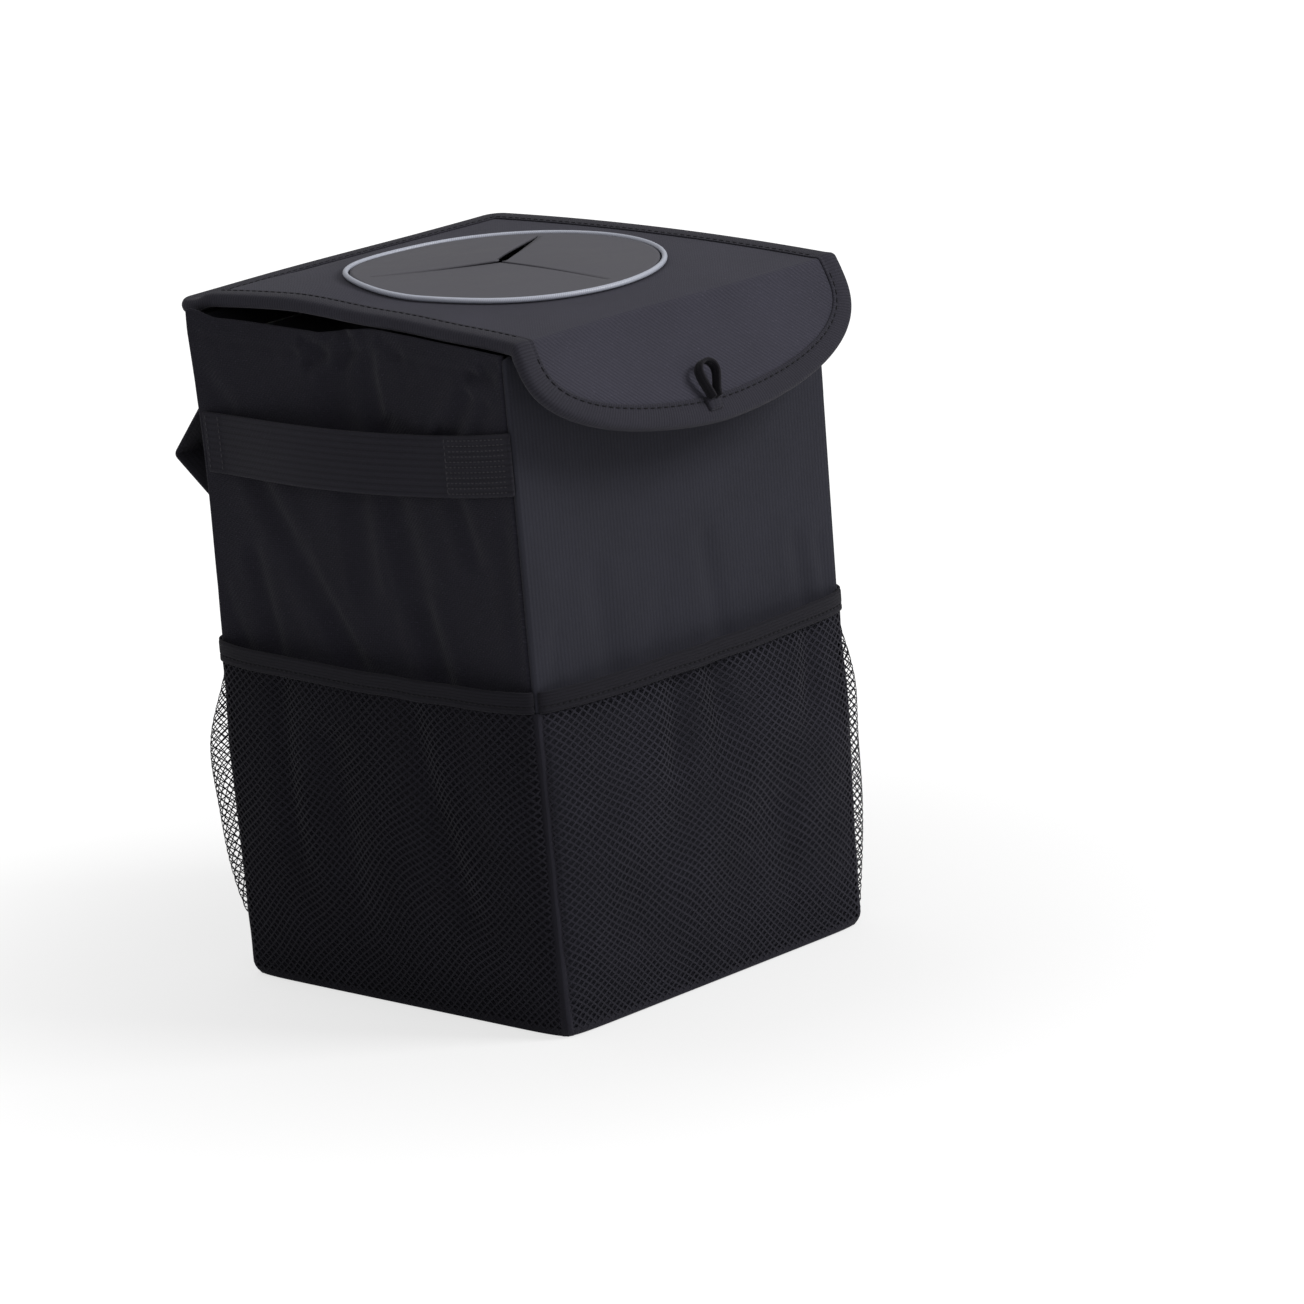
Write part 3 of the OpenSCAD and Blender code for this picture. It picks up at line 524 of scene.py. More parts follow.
stiff_wall("front_wall", 1, 0.1, "front_panel", front_dents)
stiff_wall("back_wall", -1, 2.4, "back_panel", front_dents[:2] * [-0.6, 1, -0.6, 1, 1, 1])

# ------------------------------
# Left and right wall. The same cloth with no board behind it, so it folds and creases. Its upper
# edge is a sewn hem, bunched up where the lid rests on it a little in front of the middle.
HEM = 8.6                      # distance of the hem's stitches below the upper edge
LID_HALF = 78.5                # half width of the lid
LID_UNDER = 240.05             # height of the lid's flat underside over the walls
# Painted shade: the side walls' cloth is the wall cloth's colour made darker, for the shade the side walls
# stand in. Its coarser weave, deeper relief and lint are its own.
shaded_side_cloth = dyed_cloth("shaded_side_cloth", (35, 34, 42), thread=0.8, depth=0.12, dip_shade=0.6, lint=1.5)

# Creases of the left wall, from the photograph: place and height of the upper end, the same for
# the lower end, width, depth.
left_creases = np.array([
    [73, 221, 60, 206, 2.6, 1.3], [4, 231, 3, 200, 5.5, 2.0], [-6, 235, -12, 203, 3.2, 2.6],
    [-13, 212, -21, 203, 5.0, 2.0], [-57, 227, -43, 206, 2.2, 1.9], [-38, 211, -46, 206, 3.5, 1.8],
    [-66, 224, -58, 212, 2.6, 1.1], [-56, 232.4, -71, 231.6, 1.4, 1.8], [-63, 234.5, -73, 237.5, 1.6, 2.6],
    [24, 236.5, 13, 235, 1.3, 1.4], [22, 228, 10, 235.5, 1.6, 1.9], [7, 229, -4, 238, 1.6, 2.2],
    [4, 243, -1, 238, 1.5, 2.0], [-14, 241, -26, 236, 1.6, 0.9], [54, 188, 36, 162, 2.8, 1.9],
    [36, 162, 4, 117, 3.2, 1.8], [2.4, 189, 1.2, 148, 4.2, 1.7], [-14, 188, -23.5, 150, 3.8, 2.3],
    [-23.5, 150, -34, 114, 2.8, 2.8], [-45, 189, -53, 164, 2.4, 1.5], [57, 160, 47.5, 120, 2.3, 1.5],
    [75, 146, 63, 119, 2.1, 1.4], [-68, 187, -71, 128, 2.2, 1.1], [22, 142, 9, 118, 2.6, 1.3],
    [4, 118, -8, 50, 5.0, 1.3], [-34, 116, -42, 40, 5.0, 1.5], [47, 120, 38, 50, 4.0, 1.1]])
right_creases = np.array([
    [-60, 228, -50, 60, 5.0, 1.8], [-30, 230, -38, 30, 5.0, 2.0], [-4, 226, 8, 80, 5.0, 2.4],
    [22, 230, 16, 20, 4.5, 1.7], [42, 222, 54, 46, 5.0, 2.1], [64, 214, 60, 30, 4.0, 1.3],
    [-14, 236, -26, 224, 2.4, 1.5], [-20, 238, -8, 222, 2.2, 1.6], [-44, 190, -20, 130, 4.0, 1.3],
    [30, 180, 8, 120, 4.0, 1.2]])
CREASE_DEEPER = [1, 1, 1, 1, 1.5, 1.3]   # the left creases are drawn this much wider and deeper


def lid_arch(x, y):
    """Height of the lid's arch over its flat: a parabola along y, lower towards the right edge,
    and on the left side lifted behind the middle, where the lid stands off the wall. The lift
    ends before the hinge, so that the lid can hang down behind the bin."""
    lift = ease((14 - x) / 74) * (2.3 * ease((y + 12) / 46) * ease((77 - y) / 9) - 0.5 * bell(y + 45, 17))
    return (4 - 2.1 * ease((x - 5) / 70)) * (1 - np.minimum(abs(y) / 80.5, 1) ** 2) + lift


def side_top(side, y):
    """Height of a side wall's upper edge: level behind, and up against the lid in front. The far
    left corner stands beside the lid and a little above its underside."""
    under = LID_UNDER + lid_arch(side * LID_HALF, y)
    behind = np.minimum(240.5 + 0.8 * ease((y - 20) / 40), under) + (1 - side) * 1.25 * ease((y - 62) / 12)
    return behind + (under - behind) * ease((16 - y) / 30)


def soft_face(side, lines, y, z):
    """How far the outer face lies in from the plane of the wall: creases that fade at the seams, a
    groove along the hem's stitches, and small puckers hanging from it."""
    fade = (1 - (abs(y) / HALF) ** 8) * ease((z - 1) / 16)
    below = side_top(side, y) - z
    groove = 0.5 * bell(below - HEM, 0.7) - 0.35 * bell(below - HEM + 3.5, 2.6)
    pucker = 0.16 * np.sin(y / 1.9 + 0.8 * np.sin(y / 5)) * bell(below - HEM - 1.5, 3.0)
    gather = 0.6 * bell(y - 4, 15) * np.sin(y / 2.3 + np.sin(z / 3)) * bell(below - 5, 8)
    return np.clip(creased(lines, y, z) * fade + (groove + pucker + gather) * fade, 0, 4.1)


def soft_wall(name, side, lines, node):
    """A wall that faces -X (side -1) or +X (side 1), as soft_face over y and z."""
    y, rolled = across_wall(130, 2.4, 0.1)
    low_back, low_z = foot_roll()
    share = spread(0, 1, 160)[1:, None]
    z = join(np.repeat(low_z[:, None], len(y), 1),
             low_z[-1] + share * (side_top(side, y) - CLOTH / 2 - low_z[-1]))
    y = np.repeat(y[None], len(z), 0)
    back = join(low_back, np.zeros(len(share)))[:, None]
    inset = CLOTH / 2 + soft_face(side, lines, y, z) + rolled + back
    wall = sew(name, [slab(lean(at(side * (HALF - inset), y, z)), CLOTH / 2)], shaded_side_cloth, "bin")
    dress(wall, "side_fabric", node)


soft_wall("left_wall", -1, left_creases * CREASE_DEEPER, "left_panel")
soft_wall("right_wall", 1, right_creases, "right_panel")

# ------------------------------
# Pocket nets. Diamond net knotted from fine black thread, about 3.5 mm a hole, with a woven edge
# sewn into the side and bottom seams of each wall. It bellies out below its elastic hem, and the
# elastic gathers it into shallow folds.
COLUMNS, ROWS = 86, 78         # half diamonds across and up a net
NET_LOW, NET_HIGH = 1.0, 116.2
PLAN = 74.9                    # half width of a net between its side seams
# Painted shade: the thread of the left, right and back nets is the front net's thread made darker, for the
# shade those nets stand in.
shaded_net_thread = dyed_cloth("shaded_net_thread", (31, 30, 37), thread=0.35, depth=0.03, fade=0.2, lint=0.4)
front_net_thread = dyed_cloth("front_net_thread", (41, 40, 48), thread=0.35, depth=0.03, fade=0.2, lint=0.5)


def plan_curve(u, depth, power, wide):
    """Plan of a pocket, a superellipse from one side seam to the other: the place along the wall
    at the share u of its half width, and how far out it stands."""
    return u * wide, 0.3 + depth * np.maximum(1 - abs(u) ** power, 0) ** (1 / power)


def resample(line, spots):
    """Points on a line of points, at the distances along it that spots gives for its length."""
    far = run(line)
    return np.stack([np.interp(spots(far[-1]), far, part) for part in line.T], -1)


def net_sheet(shape, creases):
    """Grid of points over a net with even steps along each row. The belly is a bow that grows to
    the hem plus a half sine wave of the height to the power sag, drawn back to the wall along
    each crease by a bell."""
    bow, belly, low, boxy, sag = shape
    u, v = np.meshgrid(np.sin(degrees(-90, 90, 500)), spread(0, 1, 140))
    t = limited((v - low) / (1 - low))
    depth = bow * ease(t) + belly * np.maximum(np.sin(np.pi * t ** sag), 0) ** 0.8
    for high_u, high_v, low_u, low_v, width, share in creases:
        line = low_u + (high_u - low_u) * (v - low_v) / (high_v - low_v)
        ends = ease((v - low_v) / 0.2 + 0.5) * ease((high_v - v) / 0.1 + 0.6)
        depth = depth * (1 - share * bell(u - line, width) * ends)
    depth = depth * (1 + 0.07 * np.sin(9 * u + 3 * np.sin(5 * v)) * ease((1 - v) * 6))
    x, out = plan_curve(u, depth, boxy - (boxy - 2) * ease((v - 0.7) / 0.3), PLAN)
    points = at(x, -HALF - out, NET_LOW + v * (NET_HIGH - NET_LOW))
    return np.stack([resample(row, lambda length: spread(0, 1, 300) * length) for row in points])


def between(grid, row, column):
    """Values of a grid at places between its rows and columns."""
    row, column = np.clip(row, 0, len(grid) - 1.001), np.clip(column, 0, grid.shape[1] - 1.001)
    r, c = row.astype(int), column.astype(int)
    row, column = (row - r)[:, None], (column - c)[:, None]
    near = (1 - column) * grid[r, c] + column * grid[r, c + 1]
    return (1 - row) * near + row * ((1 - column) * grid[r + 1, c] + column * grid[r + 1, c + 1])


def net_lattice(thread):
    """The net's pattern in the flat: corners of the crossings in half diamonds, and its faces as
    numbers of corners. Crossings lie where i + j is even. Each is a small diamond of four
    corners, right, up, left and down, and each thread joins the near corners of two crossings."""
    i, j = np.meshgrid(np.arange(COLUMNS + 1), np.arange(ROWS + 1))
    kept = (i + j) % 2 == 0
    number = np.full(i.shape, -1)
    number[kept] = np.arange(kept.sum())
    across, up = 2 * PLAN / COLUMNS, (NET_HIGH - NET_LOW) / ROWS
    half = thread * np.hypot(across, up) / (2 * across * up)
    moves = np.array([[half, 0], [0, half], [-half, 0], [0, -half]])
    places = np.clip(at(i[kept], j[kept])[:, None] + moves, 0, [COLUMNS, ROWS])

    def strip(mask, *corners):
        return np.stack([4 * number[j[mask] + dj, i[mask] + di] + k for di, dj, k in corners], -1)

    rising, falling = kept & (i < COLUMNS) & (j < ROWS), kept & (i < COLUMNS) & (j > 0)
    skin = join(strip(kept, (0, 0, 0), (0, 0, 1), (0, 0, 2), (0, 0, 3)),
                strip(rising, (0, 0, 0), (1, 1, 3), (1, 1, 2), (0, 0, 1)),
                strip(falling, (0, 0, 3), (1, -1, 2), (1, -1, 1), (0, 0, 0)))
    return places.reshape(-1, 2), skin


def turned_about(points, turn):
    """Points turned about the upright axis."""
    c, s = np.cos(turn), np.sin(turn)
    return points @ np.array([[c, s, 0], [-s, c, 0], [0, 0, 1]])


def pocket_net(name, turn, shape, creases, node, material, thread, seed):
    """The lattice laid on the net's sheet: a front and a back skin, joined round every hole. The
    threads wander a little from their straight lines. Its woven edges are one narrow band down
    each side, bent round the bin's corner, and one along the bottom."""
    sheet = net_sheet(shape, creases)
    outward = unit(np.cross(np.gradient(sheet, axis=1), np.gradient(sheet, axis=0)))
    places, skin = net_lattice(thread)
    u, v = places[:, 0] / COLUMNS, places[:, 1] / ROWS
    free = (1 - (2 * u - 1) ** 8) * np.sin(np.pi * v) ** 0.5
    u = u + free * (0.005 * np.sin(14 * u + 4 * v + seed) + 0.004 * np.sin(15 * v - 10 * u + 2 * seed))
    v = v + free * (0.008 * np.sin(12 * u + 9 * v + 3 * seed) + 0.006 * np.sin(34 * u + seed))
    row, column = v * (len(sheet) - 1), u * (sheet.shape[1] - 1)
    inner, out = between(sheet, row, column), unit(between(outward, row, column))
    count = len(places)
    edges = np.concatenate([skin[:, [k, (k + 1) % 4]] for k in range(4)])
    _, first, uses = np.unique(np.sort(edges, 1), axis=0, return_index=True, return_counts=True)
    rim = edges[first[uses == 1]]
    walls = np.stack([rim[:, 1], rim[:, 0], rim[:, 0] + count, rim[:, 1] + count], -1)
    faces = join(skin, skin[:, ::-1] + count, walls)
    points = lean(turned_about(join(inner + 0.65 * thread * out, inner), turn))
    flat = np.tile(np.stack([u * 2 * PLAN, v * (NET_HIGH - NET_LOW)], -1), (2, 1))
    mesh = cloth_mesh(name, points, faces, flat, material)
    mesh.set_sharp_from_angle(angle=np.radians(60))
    net = put(name, mesh)
    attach(net, "bin")
    dress(net, "net", node)
    up = spread(NET_LOW - 0.4, NET_HIGH, 90)[:, None]
    edge = at([74.4, 75.0, 75.6, 76.2], [-76.95, -76.95, -76.8, -76.35] - 0.1 * np.sin(up / 3), up)
    x, z = np.meshgrid(spread(-75, 75, 60), spread(0.7, 3.2, 5))
    bands = [slab(edge, 0.24), slab(edge * [-1, 1, 1], 0.24), slab(at(x, -76.95, z), 0.24)]
    dress(sew(name + "_edge", [(lean(turned_about(band, turn)), uv) for band, uv in bands], material,
              "bin"), "net")


# A net's shape is its bow, belly, lowest share, squareness and sag. Its creases go from an upper
# to a lower place, each as shares across and up, and have a width and a share of the depth.
QUARTER = np.pi / 2
pocket_net("front_net", 0, (6.5, 4.5, 0, 2.6, 1.0),
           [(-0.2, 1.0, -0.27, 0.7, 0.09, 0.4), (0.03, 1.0, 0.06, 0.8, 0.08, 0.4),
            (0.72, 1.0, 0.66, 0.75, 0.07, 0.35), (0.4, 0.5, 0.55, 0.1, 0.15, 0.3)],
           "front_pocket_net", front_net_thread, 0.6, 0.0)
pocket_net("left_net", -QUARTER, (6.5, 4, 0, 2.6, 1.0),
           [(0.26, 1.0, 0.55, 0.3, 0.1, 0.42), (-0.24, 0.85, -0.2, 0.2, 0.13, 0.35),
            (-0.57, 1.0, -0.55, 0.4, 0.08, 0.35)],
           "left_pocket_net", shaded_net_thread, 0.6, 1.3)
pocket_net("right_net", QUARTER, (7, 9, 0, 6, 0.75), [(0.3, 0.97, 0.4, 0.45, 0.08, 0.35)],
           "right_pocket_net", shaded_net_thread, 0.32, 2.1)
pocket_net("back_net", 2 * QUARTER, (7, 16, 0.16, 6, 0.75),
           [(-0.3, 0.97, -0.2, 0.4, 0.07, 0.3), (0.4, 0.96, 0.5, 0.5, 0.07, 0.3)],
           "back_pocket_net", shaded_net_thread, 0.32, 3.4)

# ------------------------------
# Pocket hems. A ribbed elastic band folded over the top of each net and stitched along its lower
# edge, with both ends caught in the wall's side seams.
elastic_band = dyed_cloth("elastic_band", (30, 29, 35), thread=0.5, rib=1.1, slant=QUARTER,
                          rib_share=0.7, depth=0.09, dip_shade=0.5, lint=0.2)
stitch_thread = dyed_cloth("stitch_thread", (30, 30, 34), thread=0.3, depth=0.02, lint=0.6)


def dots_along(line, pitch):
    """Evenly spaced points on a line of points, pitch mm apart."""
    return resample(line, lambda length: np.arange(pitch / 2, length, pitch))


def stitch_row(places, up, length, thick, sink=0.25):
    """Stitches lying one after another on a line of places: each is a small pill, a circle of 6
    points carried over 5 rings whose size follows a rounded end, pressed into the cloth by sink
    of its thickness. Gives a patch for sew."""
    up = np.broadcast_to(up, places.shape)
    ahead = unit(np.gradient(places, axis=0))
    side = unit(np.cross(ahead, up))
    turn, ends = degrees(0, 360, 7)[:, None], degrees(0, 180, 5)
    reach, size = np.cos(ends)[:, None, None], (np.sin(ends) ** 0.6)[:, None, None]
    ahead, side, over = ahead[:, None, None], side[:, None, None], up[:, None, None]
    centre = (places + up * thick * (0.5 - sink))[:, None, None]
    points = (centre + ahead * reach * length / 2
              + (side * np.cos(turn) + over * np.sin(turn)) * size * thick / 2)
    return points, np.zeros(2)


def pocket_band(name, turn, bow, node):
    """Band carried along the bow: a rounded rectangle 1.6 by 7.5, with a groove for the stitches
    2 mm above its lower edge."""
    u = np.sin(degrees(-88.5, 88.5, 110))
    z = spread(117.1, 123.4, 22)[:, None]
    deep = 0.72 - 0.2 * bell(z - 118.9, 0.5)
    x, out = plan_curve(u, bow, 2.0, 75.3)
    wave = 0.15 * np.sin(x / 6.1 + 1.7 * np.sin(x / 17 + turn)) * ease((PLAN - abs(x)) / 12)
    middle = at(x, -HALF - 0.85 + 0.45 * (x / 75.3) ** 10 - out, z + wave)
    band, lengths = slab(middle, deep)
    thread, plain = stitch_row(dots_along(middle[6] - [0, 0.55, 0], 2.4), [0, -1, 0], 1.7, 0.5)
    dress(sew(name, [(lean(turned_about(band, turn)), lengths)], elastic_band, "bin"), "pocket_hem", node)
    dress(sew(name + "_stitches", [(lean(turned_about(thread, turn)), plain)], stitch_thread, "bin"),
          "pocket_hem")


for name, turn in (("front", 0), ("left", -QUARTER), ("right", QUARTER), ("back", 2 * QUARTER)):
    pocket_band(name + "_band", turn, 7, name + "_pocket_hem")

# ------------------------------
# Side handles. A strap of ribbed webbing across each side wall, 21.5 mm wide. Its front end is
# held by a dense block of stitches, its rear end by two rows, and it stands slack between them.
strap_webbing = dyed_cloth("strap_webbing", (40, 39, 46), thread=0.8, rib=2.3, slant=QUARTER,
                           rib_share=0.6, depth=0.16, dip_shade=0.45, lint=0.35)
light_thread = dyed_cloth("light_thread", (76, 75, 81), thread=0.3, depth=0.02, lint=0.5)
STRAP_START, STRAP_LONG = -76.2, 148.4
FRONT_SEWN, REAR_SEWN = 33, 9  # mm of the strap that are sewn down at each end
WEB_HALF = 0.78                # half the webbing's thickness


def strap_middle(side, s, w):
    """Middle line of the strap at the share s of its length from the front and the height w above
    its lower edge: it stands off the wall in a raised half sine between the sewn ends, and falls
    steeply behind its front end, then runs level."""
    far = s * STRAP_LONG
    free = limited((far - FRONT_SEWN) / (STRAP_LONG - FRONT_SEWN - REAR_SEWN))
    slack = np.maximum(np.sin(np.pi * free), 0) ** 1.2
    x = 77.6 + 7.5 * slack + 0.2 * slack * np.sin(w / 5) - 0.3 * (bell(far - 32, 1.2) + bell(far - 47, 6))
    z = 185.4 + w + 7.6 * (1 - s) ** 3.2 + 1.8 * slack
    return lean(at(side * x, STRAP_START + 1 + side + far, z))


def side_strap(name, side, node):
    """The webbing, its block of stitches and its cross rows."""
    s, w = np.meshgrid(spread(0.004, 0.996, 140), spread(0.6, 20.9, 26))
    dress(sew(name, [slab(strap_middle(side, s, w), WEB_HALF)], strap_webbing, "bin"), "webbing", node)
    out = np.array([side, 0, 0])
    rows = []
    for height in spread(1.5, 20.0, 11):
        line = strap_middle(side, spread(2.0, 31.0, 40) / STRAP_LONG, height) + out * WEB_HALF
        rows.append(stitch_row(dots_along(line, 1.95), out, 1.2, 0.42, 0.45))
    for place in (31.5, STRAP_LONG - 7.5, STRAP_LONG - 1.5):
        line = strap_middle(side, place / STRAP_LONG, spread(1.2, 20.4, 30)) + out * WEB_HALF
        rows.append(stitch_row(dots_along(line, 2.2), out, 1.5, 0.5))
    dress(sew(name + "_stitches", rows, light_thread, "bin"), "webbing")


side_strap("left_strap", -1, "left_side_handle")
side_strap("right_strap", 1, "right_side_handle")

# ------------------------------
# Back loops. Two short pieces of the same webbing, 24 mm wide, sewn flat at both ends to the back
# wall and creased sharply between them, so that a strap can pass through.
corners = np.array([[77.35, 212.6], [77.35, 208.6], [94.0, 188.0], [77.35, 174.9], [77.35, 171.4]])


def rounded_path(corners, radius, steps):
    """A line of 90 points through corners, each cut off at radius mm and made a parabola."""
    pieces = [corners[:1]]
    for before, here, after in zip(corners[:-2], corners[1:-1], corners[2:]):
        a = here + unit(before - here) * min(radius, 0.45 * np.linalg.norm(before - here))
        b = here + unit(after - here) * min(radius, 0.45 * np.linalg.norm(after - here))
        t = spread(0, 1, steps)[:, None]
        pieces.append((1 - t) ** 2 * a + 2 * t * (1 - t) * here + t ** 2 * b)
    line = np.concatenate(pieces + [corners[-1:]])
    return resample(line, lambda length: spread(0, length, 90))


def back_tab(name, x_middle, node):
    """Webbing carried across the loop's side view, with two rows of stitches at each end."""
    y, z = rounded_path(corners, 1.6, 8).T[..., None]
    x = x_middle + spread(-11.3, 11.3, 26)
    points, lengths = slab(at(x, y + 0.2 * np.sin((x - x_middle) / 4) * bell(z - 188, 9), z), WEB_HALF)
    dress(sew(name, [(points, lengths[..., ::-1])], strap_webbing, "bin"), "webbing", node)
    rows = [stitch_row(dots_along(at(x, 78.12, height), 2.3), [0, 1, 0], 1.6, 0.5)
            for height in (172.6, 174.2, 209.6, 211.4)]
    dress(sew(name + "_stitches", rows, light_thread, "bin"), "webbing")


back_tab("back_tab_left", -64.5, "back_loop_left")
back_tab("back_tab_right", 64.5, "back_loop_right")

# ------------------------------
# Closure patches. A patch of soft loop pile is sewn to the front wall, and its partner of stiff
# hooks inside the flap, where the two meet when the flap is pressed shut.
pile = dyed_cloth("pile", (34, 34, 37), thread=0.9, depth=0.35, dip_shade=0.9, lint=0.9)
FOLD_Y, FOLD_Z = -82.6, 242.7  # the line that the flap turns about
FOLD = np.array([0, FOLD_Y, FOLD_Z])
ACROSS = np.array([1.0, 0, 0])
DOWN = np.array([0, -0.45399, -0.89101])     # down the flap from the fold, at rest
FACE = np.array([0, -0.89101, 0.45399])      # out of the flap's outer face, at rest


def askew(points):
    """The lid sits turned on the bin: its left side and the fold's left half lie back by 5.2 mm,
    easing to 0 at the right edge and under the ring. Down the flap most of that becomes a shift
    to the left, which leaves room for the flap to be pressed against the front wall."""
    x, y, z = np.moveaxis(points, -1, 0)
    back = 5.2 * ease((74 - x) / 115) * ease((np.hypot(x, y) - 58) / 16)
    down = 0.75 * ease((240 - z) / 16)
    return points + at(-0.885 * down * back, (1 - 0.836 * down) * back, 0.322 * down * back)


def patch(name, place, along, out, body, node, hang):
    """A pad 50 by 15 mm with round corners and a stitched border."""
    s, t = np.meshgrid(spread(-1, 1, 60), spread(-1, 1, 24))
    swell = 0.5 - 0.14 * np.maximum(bell(abs(s) - 0.95, 0.03), bell(abs(t) - 0.82, 0.1))
    middle = hang(place + ACROSS * (s * 24.6)[..., None] + along * (t * 7.0)[..., None])
    dress(sew(name, [slab(middle, swell)], pile, body), "closure_patch", node)
    corners = np.array([[-23.4, -6], [23.4, -6], [23.4, 6], [-23.4, 6], [-23.4, -6]])
    border = dots_along(hang(place + corners @ np.stack([ACROSS, along]) + out * 0.4), 2.4)
    dress(sew(name + "_stitches", [stitch_row(border, out, 1.7, 0.4)], stitch_thread, body),
          "closure_patch")


patch("loop_pad", np.array([0, -77.1, 217.2]), np.array([0, 0, 1.0]), np.array([0, -1.0, 0]),
      "bin", "closure_loop_patch", lean)
patch("hook_pad", FOLD + 25.5 * DOWN - 2.4 * FACE, DOWN, -FACE, "flap", "closure_hook_patch", askew)

# ------------------------------
# Lid and flap cloth. One piece of cloth covers the lid's arched board, bends over the fold at
# the front and covers the flap. It has a round hole in it, under the membrane.
FLAP_HALF = 79.0
LID_BACK = 80.5                # how far the lid reaches behind the middle of the bin
FLAP_SIDE, FLAP_LONG = 5.0, 43.7             # length of the flap's straight side, and of the flap
CORNER = 7.0                   # size of the lid's round rear corners
HOLE = 51.2                    # radius of the round hole under the membrane
ARC = 3.0                      # how far from the fold the cloth starts to go round it
BEND = np.radians(63)          # how far the flap is turned down from the lid at rest


def folded(x, s, h):
    """From the flat pattern to the bin: x across, s from the fold down the flap (below 0 it runs
    back over the lid), h above the middle of the stack. Within ARC of the fold the place goes
    round the fold's line in an arc of radius h on the outside, and meets in a mitre inside."""
    x, s, h = (np.asarray(a, float) for a in np.broadcast_arrays(x, s, h))
    near = limited((s + ARC) / (2 * ARC))
    arc = BEND * np.maximum(h, 0)
    mitre = np.maximum(-h, 0) * np.tan(BEND / 2)
    straight = ARC - mitre
    far = near * (2 * straight + arc)
    on_lid = np.clip(straight - far, 0, None) + mitre
    turn = np.pi / 2 + np.clip(far - straight, 0, arc) / np.maximum(h, 1e-6)
    on_flap = np.clip(far - straight - arc, 0, None) + mitre
    a = np.where(s < -ARC, -s, on_lid)
    b = np.where(s > ARC, s, on_flap)
    lid = (s < -ARC) | (far <= straight)
    flap = (s > ARC) | ((far >= straight + arc) & ~lid)
    y = FOLD_Y + np.where(lid, a, np.where(flap, b * DOWN[1] + h * FACE[1], h * np.cos(turn)))
    z = FOLD_Z + np.where(lid, h, np.where(flap, b * DOWN[2] + h * FACE[2], h * np.sin(turn)))
    level = at(x, np.maximum(y, FOLD_Y), z)
    moved = askew(level)
    return at(x, y, z + lid_arch(x, moved[..., 1])) + moved - level


def bend_with_both(piece):
    """Bakes the piece's placement into its mesh."""
    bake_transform(piece)


def covering(h, hole, inset):
    """Lid and flap cloth as two grids at the height h of the stack: from the hole out to a
    rectangle, and from there over the fold and down the flap. The flap's half width is
    (1 - t^2.6)^0.6 of the whole at the share t of the way to its tip."""
    wide, back, front = LID_HALF - inset, LID_BACK - inset, -78.0
    across = spread(-wide, wide, 61)
    depth = spread(front, back, 61)[1:-1]
    sides = [(across, front), (wide, depth), (across[::-1], back), (-wide, depth[::-1])]
    rim = np.concatenate([at(*side) for side in sides])
    corner = np.clip(np.minimum(rim[:, 1] - (back - CORNER), abs(rim[:, 0]) - (wide - CORNER)), 0, CORNER)
    rim = rim - np.stack([np.sign(rim[:, 0]) * 0.3 * corner, 0.3 * corner], 1) * (rim[:, 1:] > 60)
    rim = join(rim, rim[:1])
    angle = np.arctan2(rim[:, 1], rim[:, 0])
    t = spread(0, 1, 26)[:, None, None]
    plan = (1 - t) * hole * at(np.cos(angle), np.sin(angle))[None] + t * rim[None]
    top = folded(plan[..., 0], FOLD_Y - plan[..., 1], h)
    long = FLAP_LONG - FLAP_SIDE - inset
    tip = np.sin(degrees(0, 88.5, 40))[1:] ** 0.77
    s = join(spread(FOLD_Y - front, -ARC, 3), spread(-ARC, ARC, 25)[1:],
             spread(ARC, FLAP_SIDE, 4)[1:], FLAP_SIDE + long * tip)[:, None]
    t = limited((s - FLAP_SIDE) / long)
    half = (np.interp(s, [-ARC, ARC], [LID_HALF, FLAP_HALF]) - inset) * (1 - t ** 2.6) ** 0.6
    strip_x = across / wide * half
    return [(top, plan * [1, -1]), (folded(strip_x, s, h), at(strip_x, s - FOLD_Y))]


def thicken(piece, thick, offset):
    """Gives an open sheet its thickness."""
    solid = piece.modifiers.new("cloth_thickness", "SOLIDIFY")
    solid.thickness, solid.offset = thick * MM, offset


lid_cloth = dyed_cloth("lid_cloth", (59, 58, 68), rib=1.25, slant=np.pi / 4, rib_share=0.65, depth=0.1,
                       dip_shade=0.5, lint=0.8)


def stretch_over_both(name, high, thick, material, slot, *nodes):
    """A sheet over both boards that bends at the fold, its upper side at this height of the stack."""
    piece = sew(name, covering(high, HOLE, 0.7), material, weld=0.02)
    thicken(piece, thick, -1)
    bend_with_both(piece)
    dress(piece, slot, *nodes)


stretch_over_both("lid_and_flap_cloth", 1.8, 1.15, lid_cloth, "lid_fabric", "lid_cover", "flap_cover")

# ------------------------------
# Lid and flap board. The lid's board has the round hole too and follows the arch. The flap's
# starts a little below the fold, so that it stays clear when the flap is folded back.
lid_place, flap_place = covering(-0.3, HOLE + 0.8, 1.5)
flap_place = [grid[31:] for grid in flap_place]   # the first row that is clear of the fold
for body, places in (("lid", lid_place), ("flap", flap_place)):
    plate = sew(body + "_board_sheet", [places], board_plastic, body, weld=0.02)
    thicken(plate, 1.5, 0)
    dress(plate, "board", body + "_board")

# ------------------------------
# Lid and flap lining. The wipe-clean cloth again, on the underside of the boards, from the lid's
# back edge over the fold to the flap's tip.
stretch_over_both("lid_and_flap_lining", -1.5, 0.55, coated_cloth, "lining", "lid_lining", "flap_lining")

# ------------------------------
# Binding. One length of cross-ribbed tape is folded over the edge of lid and flap all the way
# round, its ends meeting at the back, and stitched close to its inner edges.
binding_tape = dyed_cloth("binding_tape", (49, 48, 56), thread=0.5, rib=1.2, rib_share=0.65, depth=0.12,
                          dip_shade=0.5, lint=0.25)


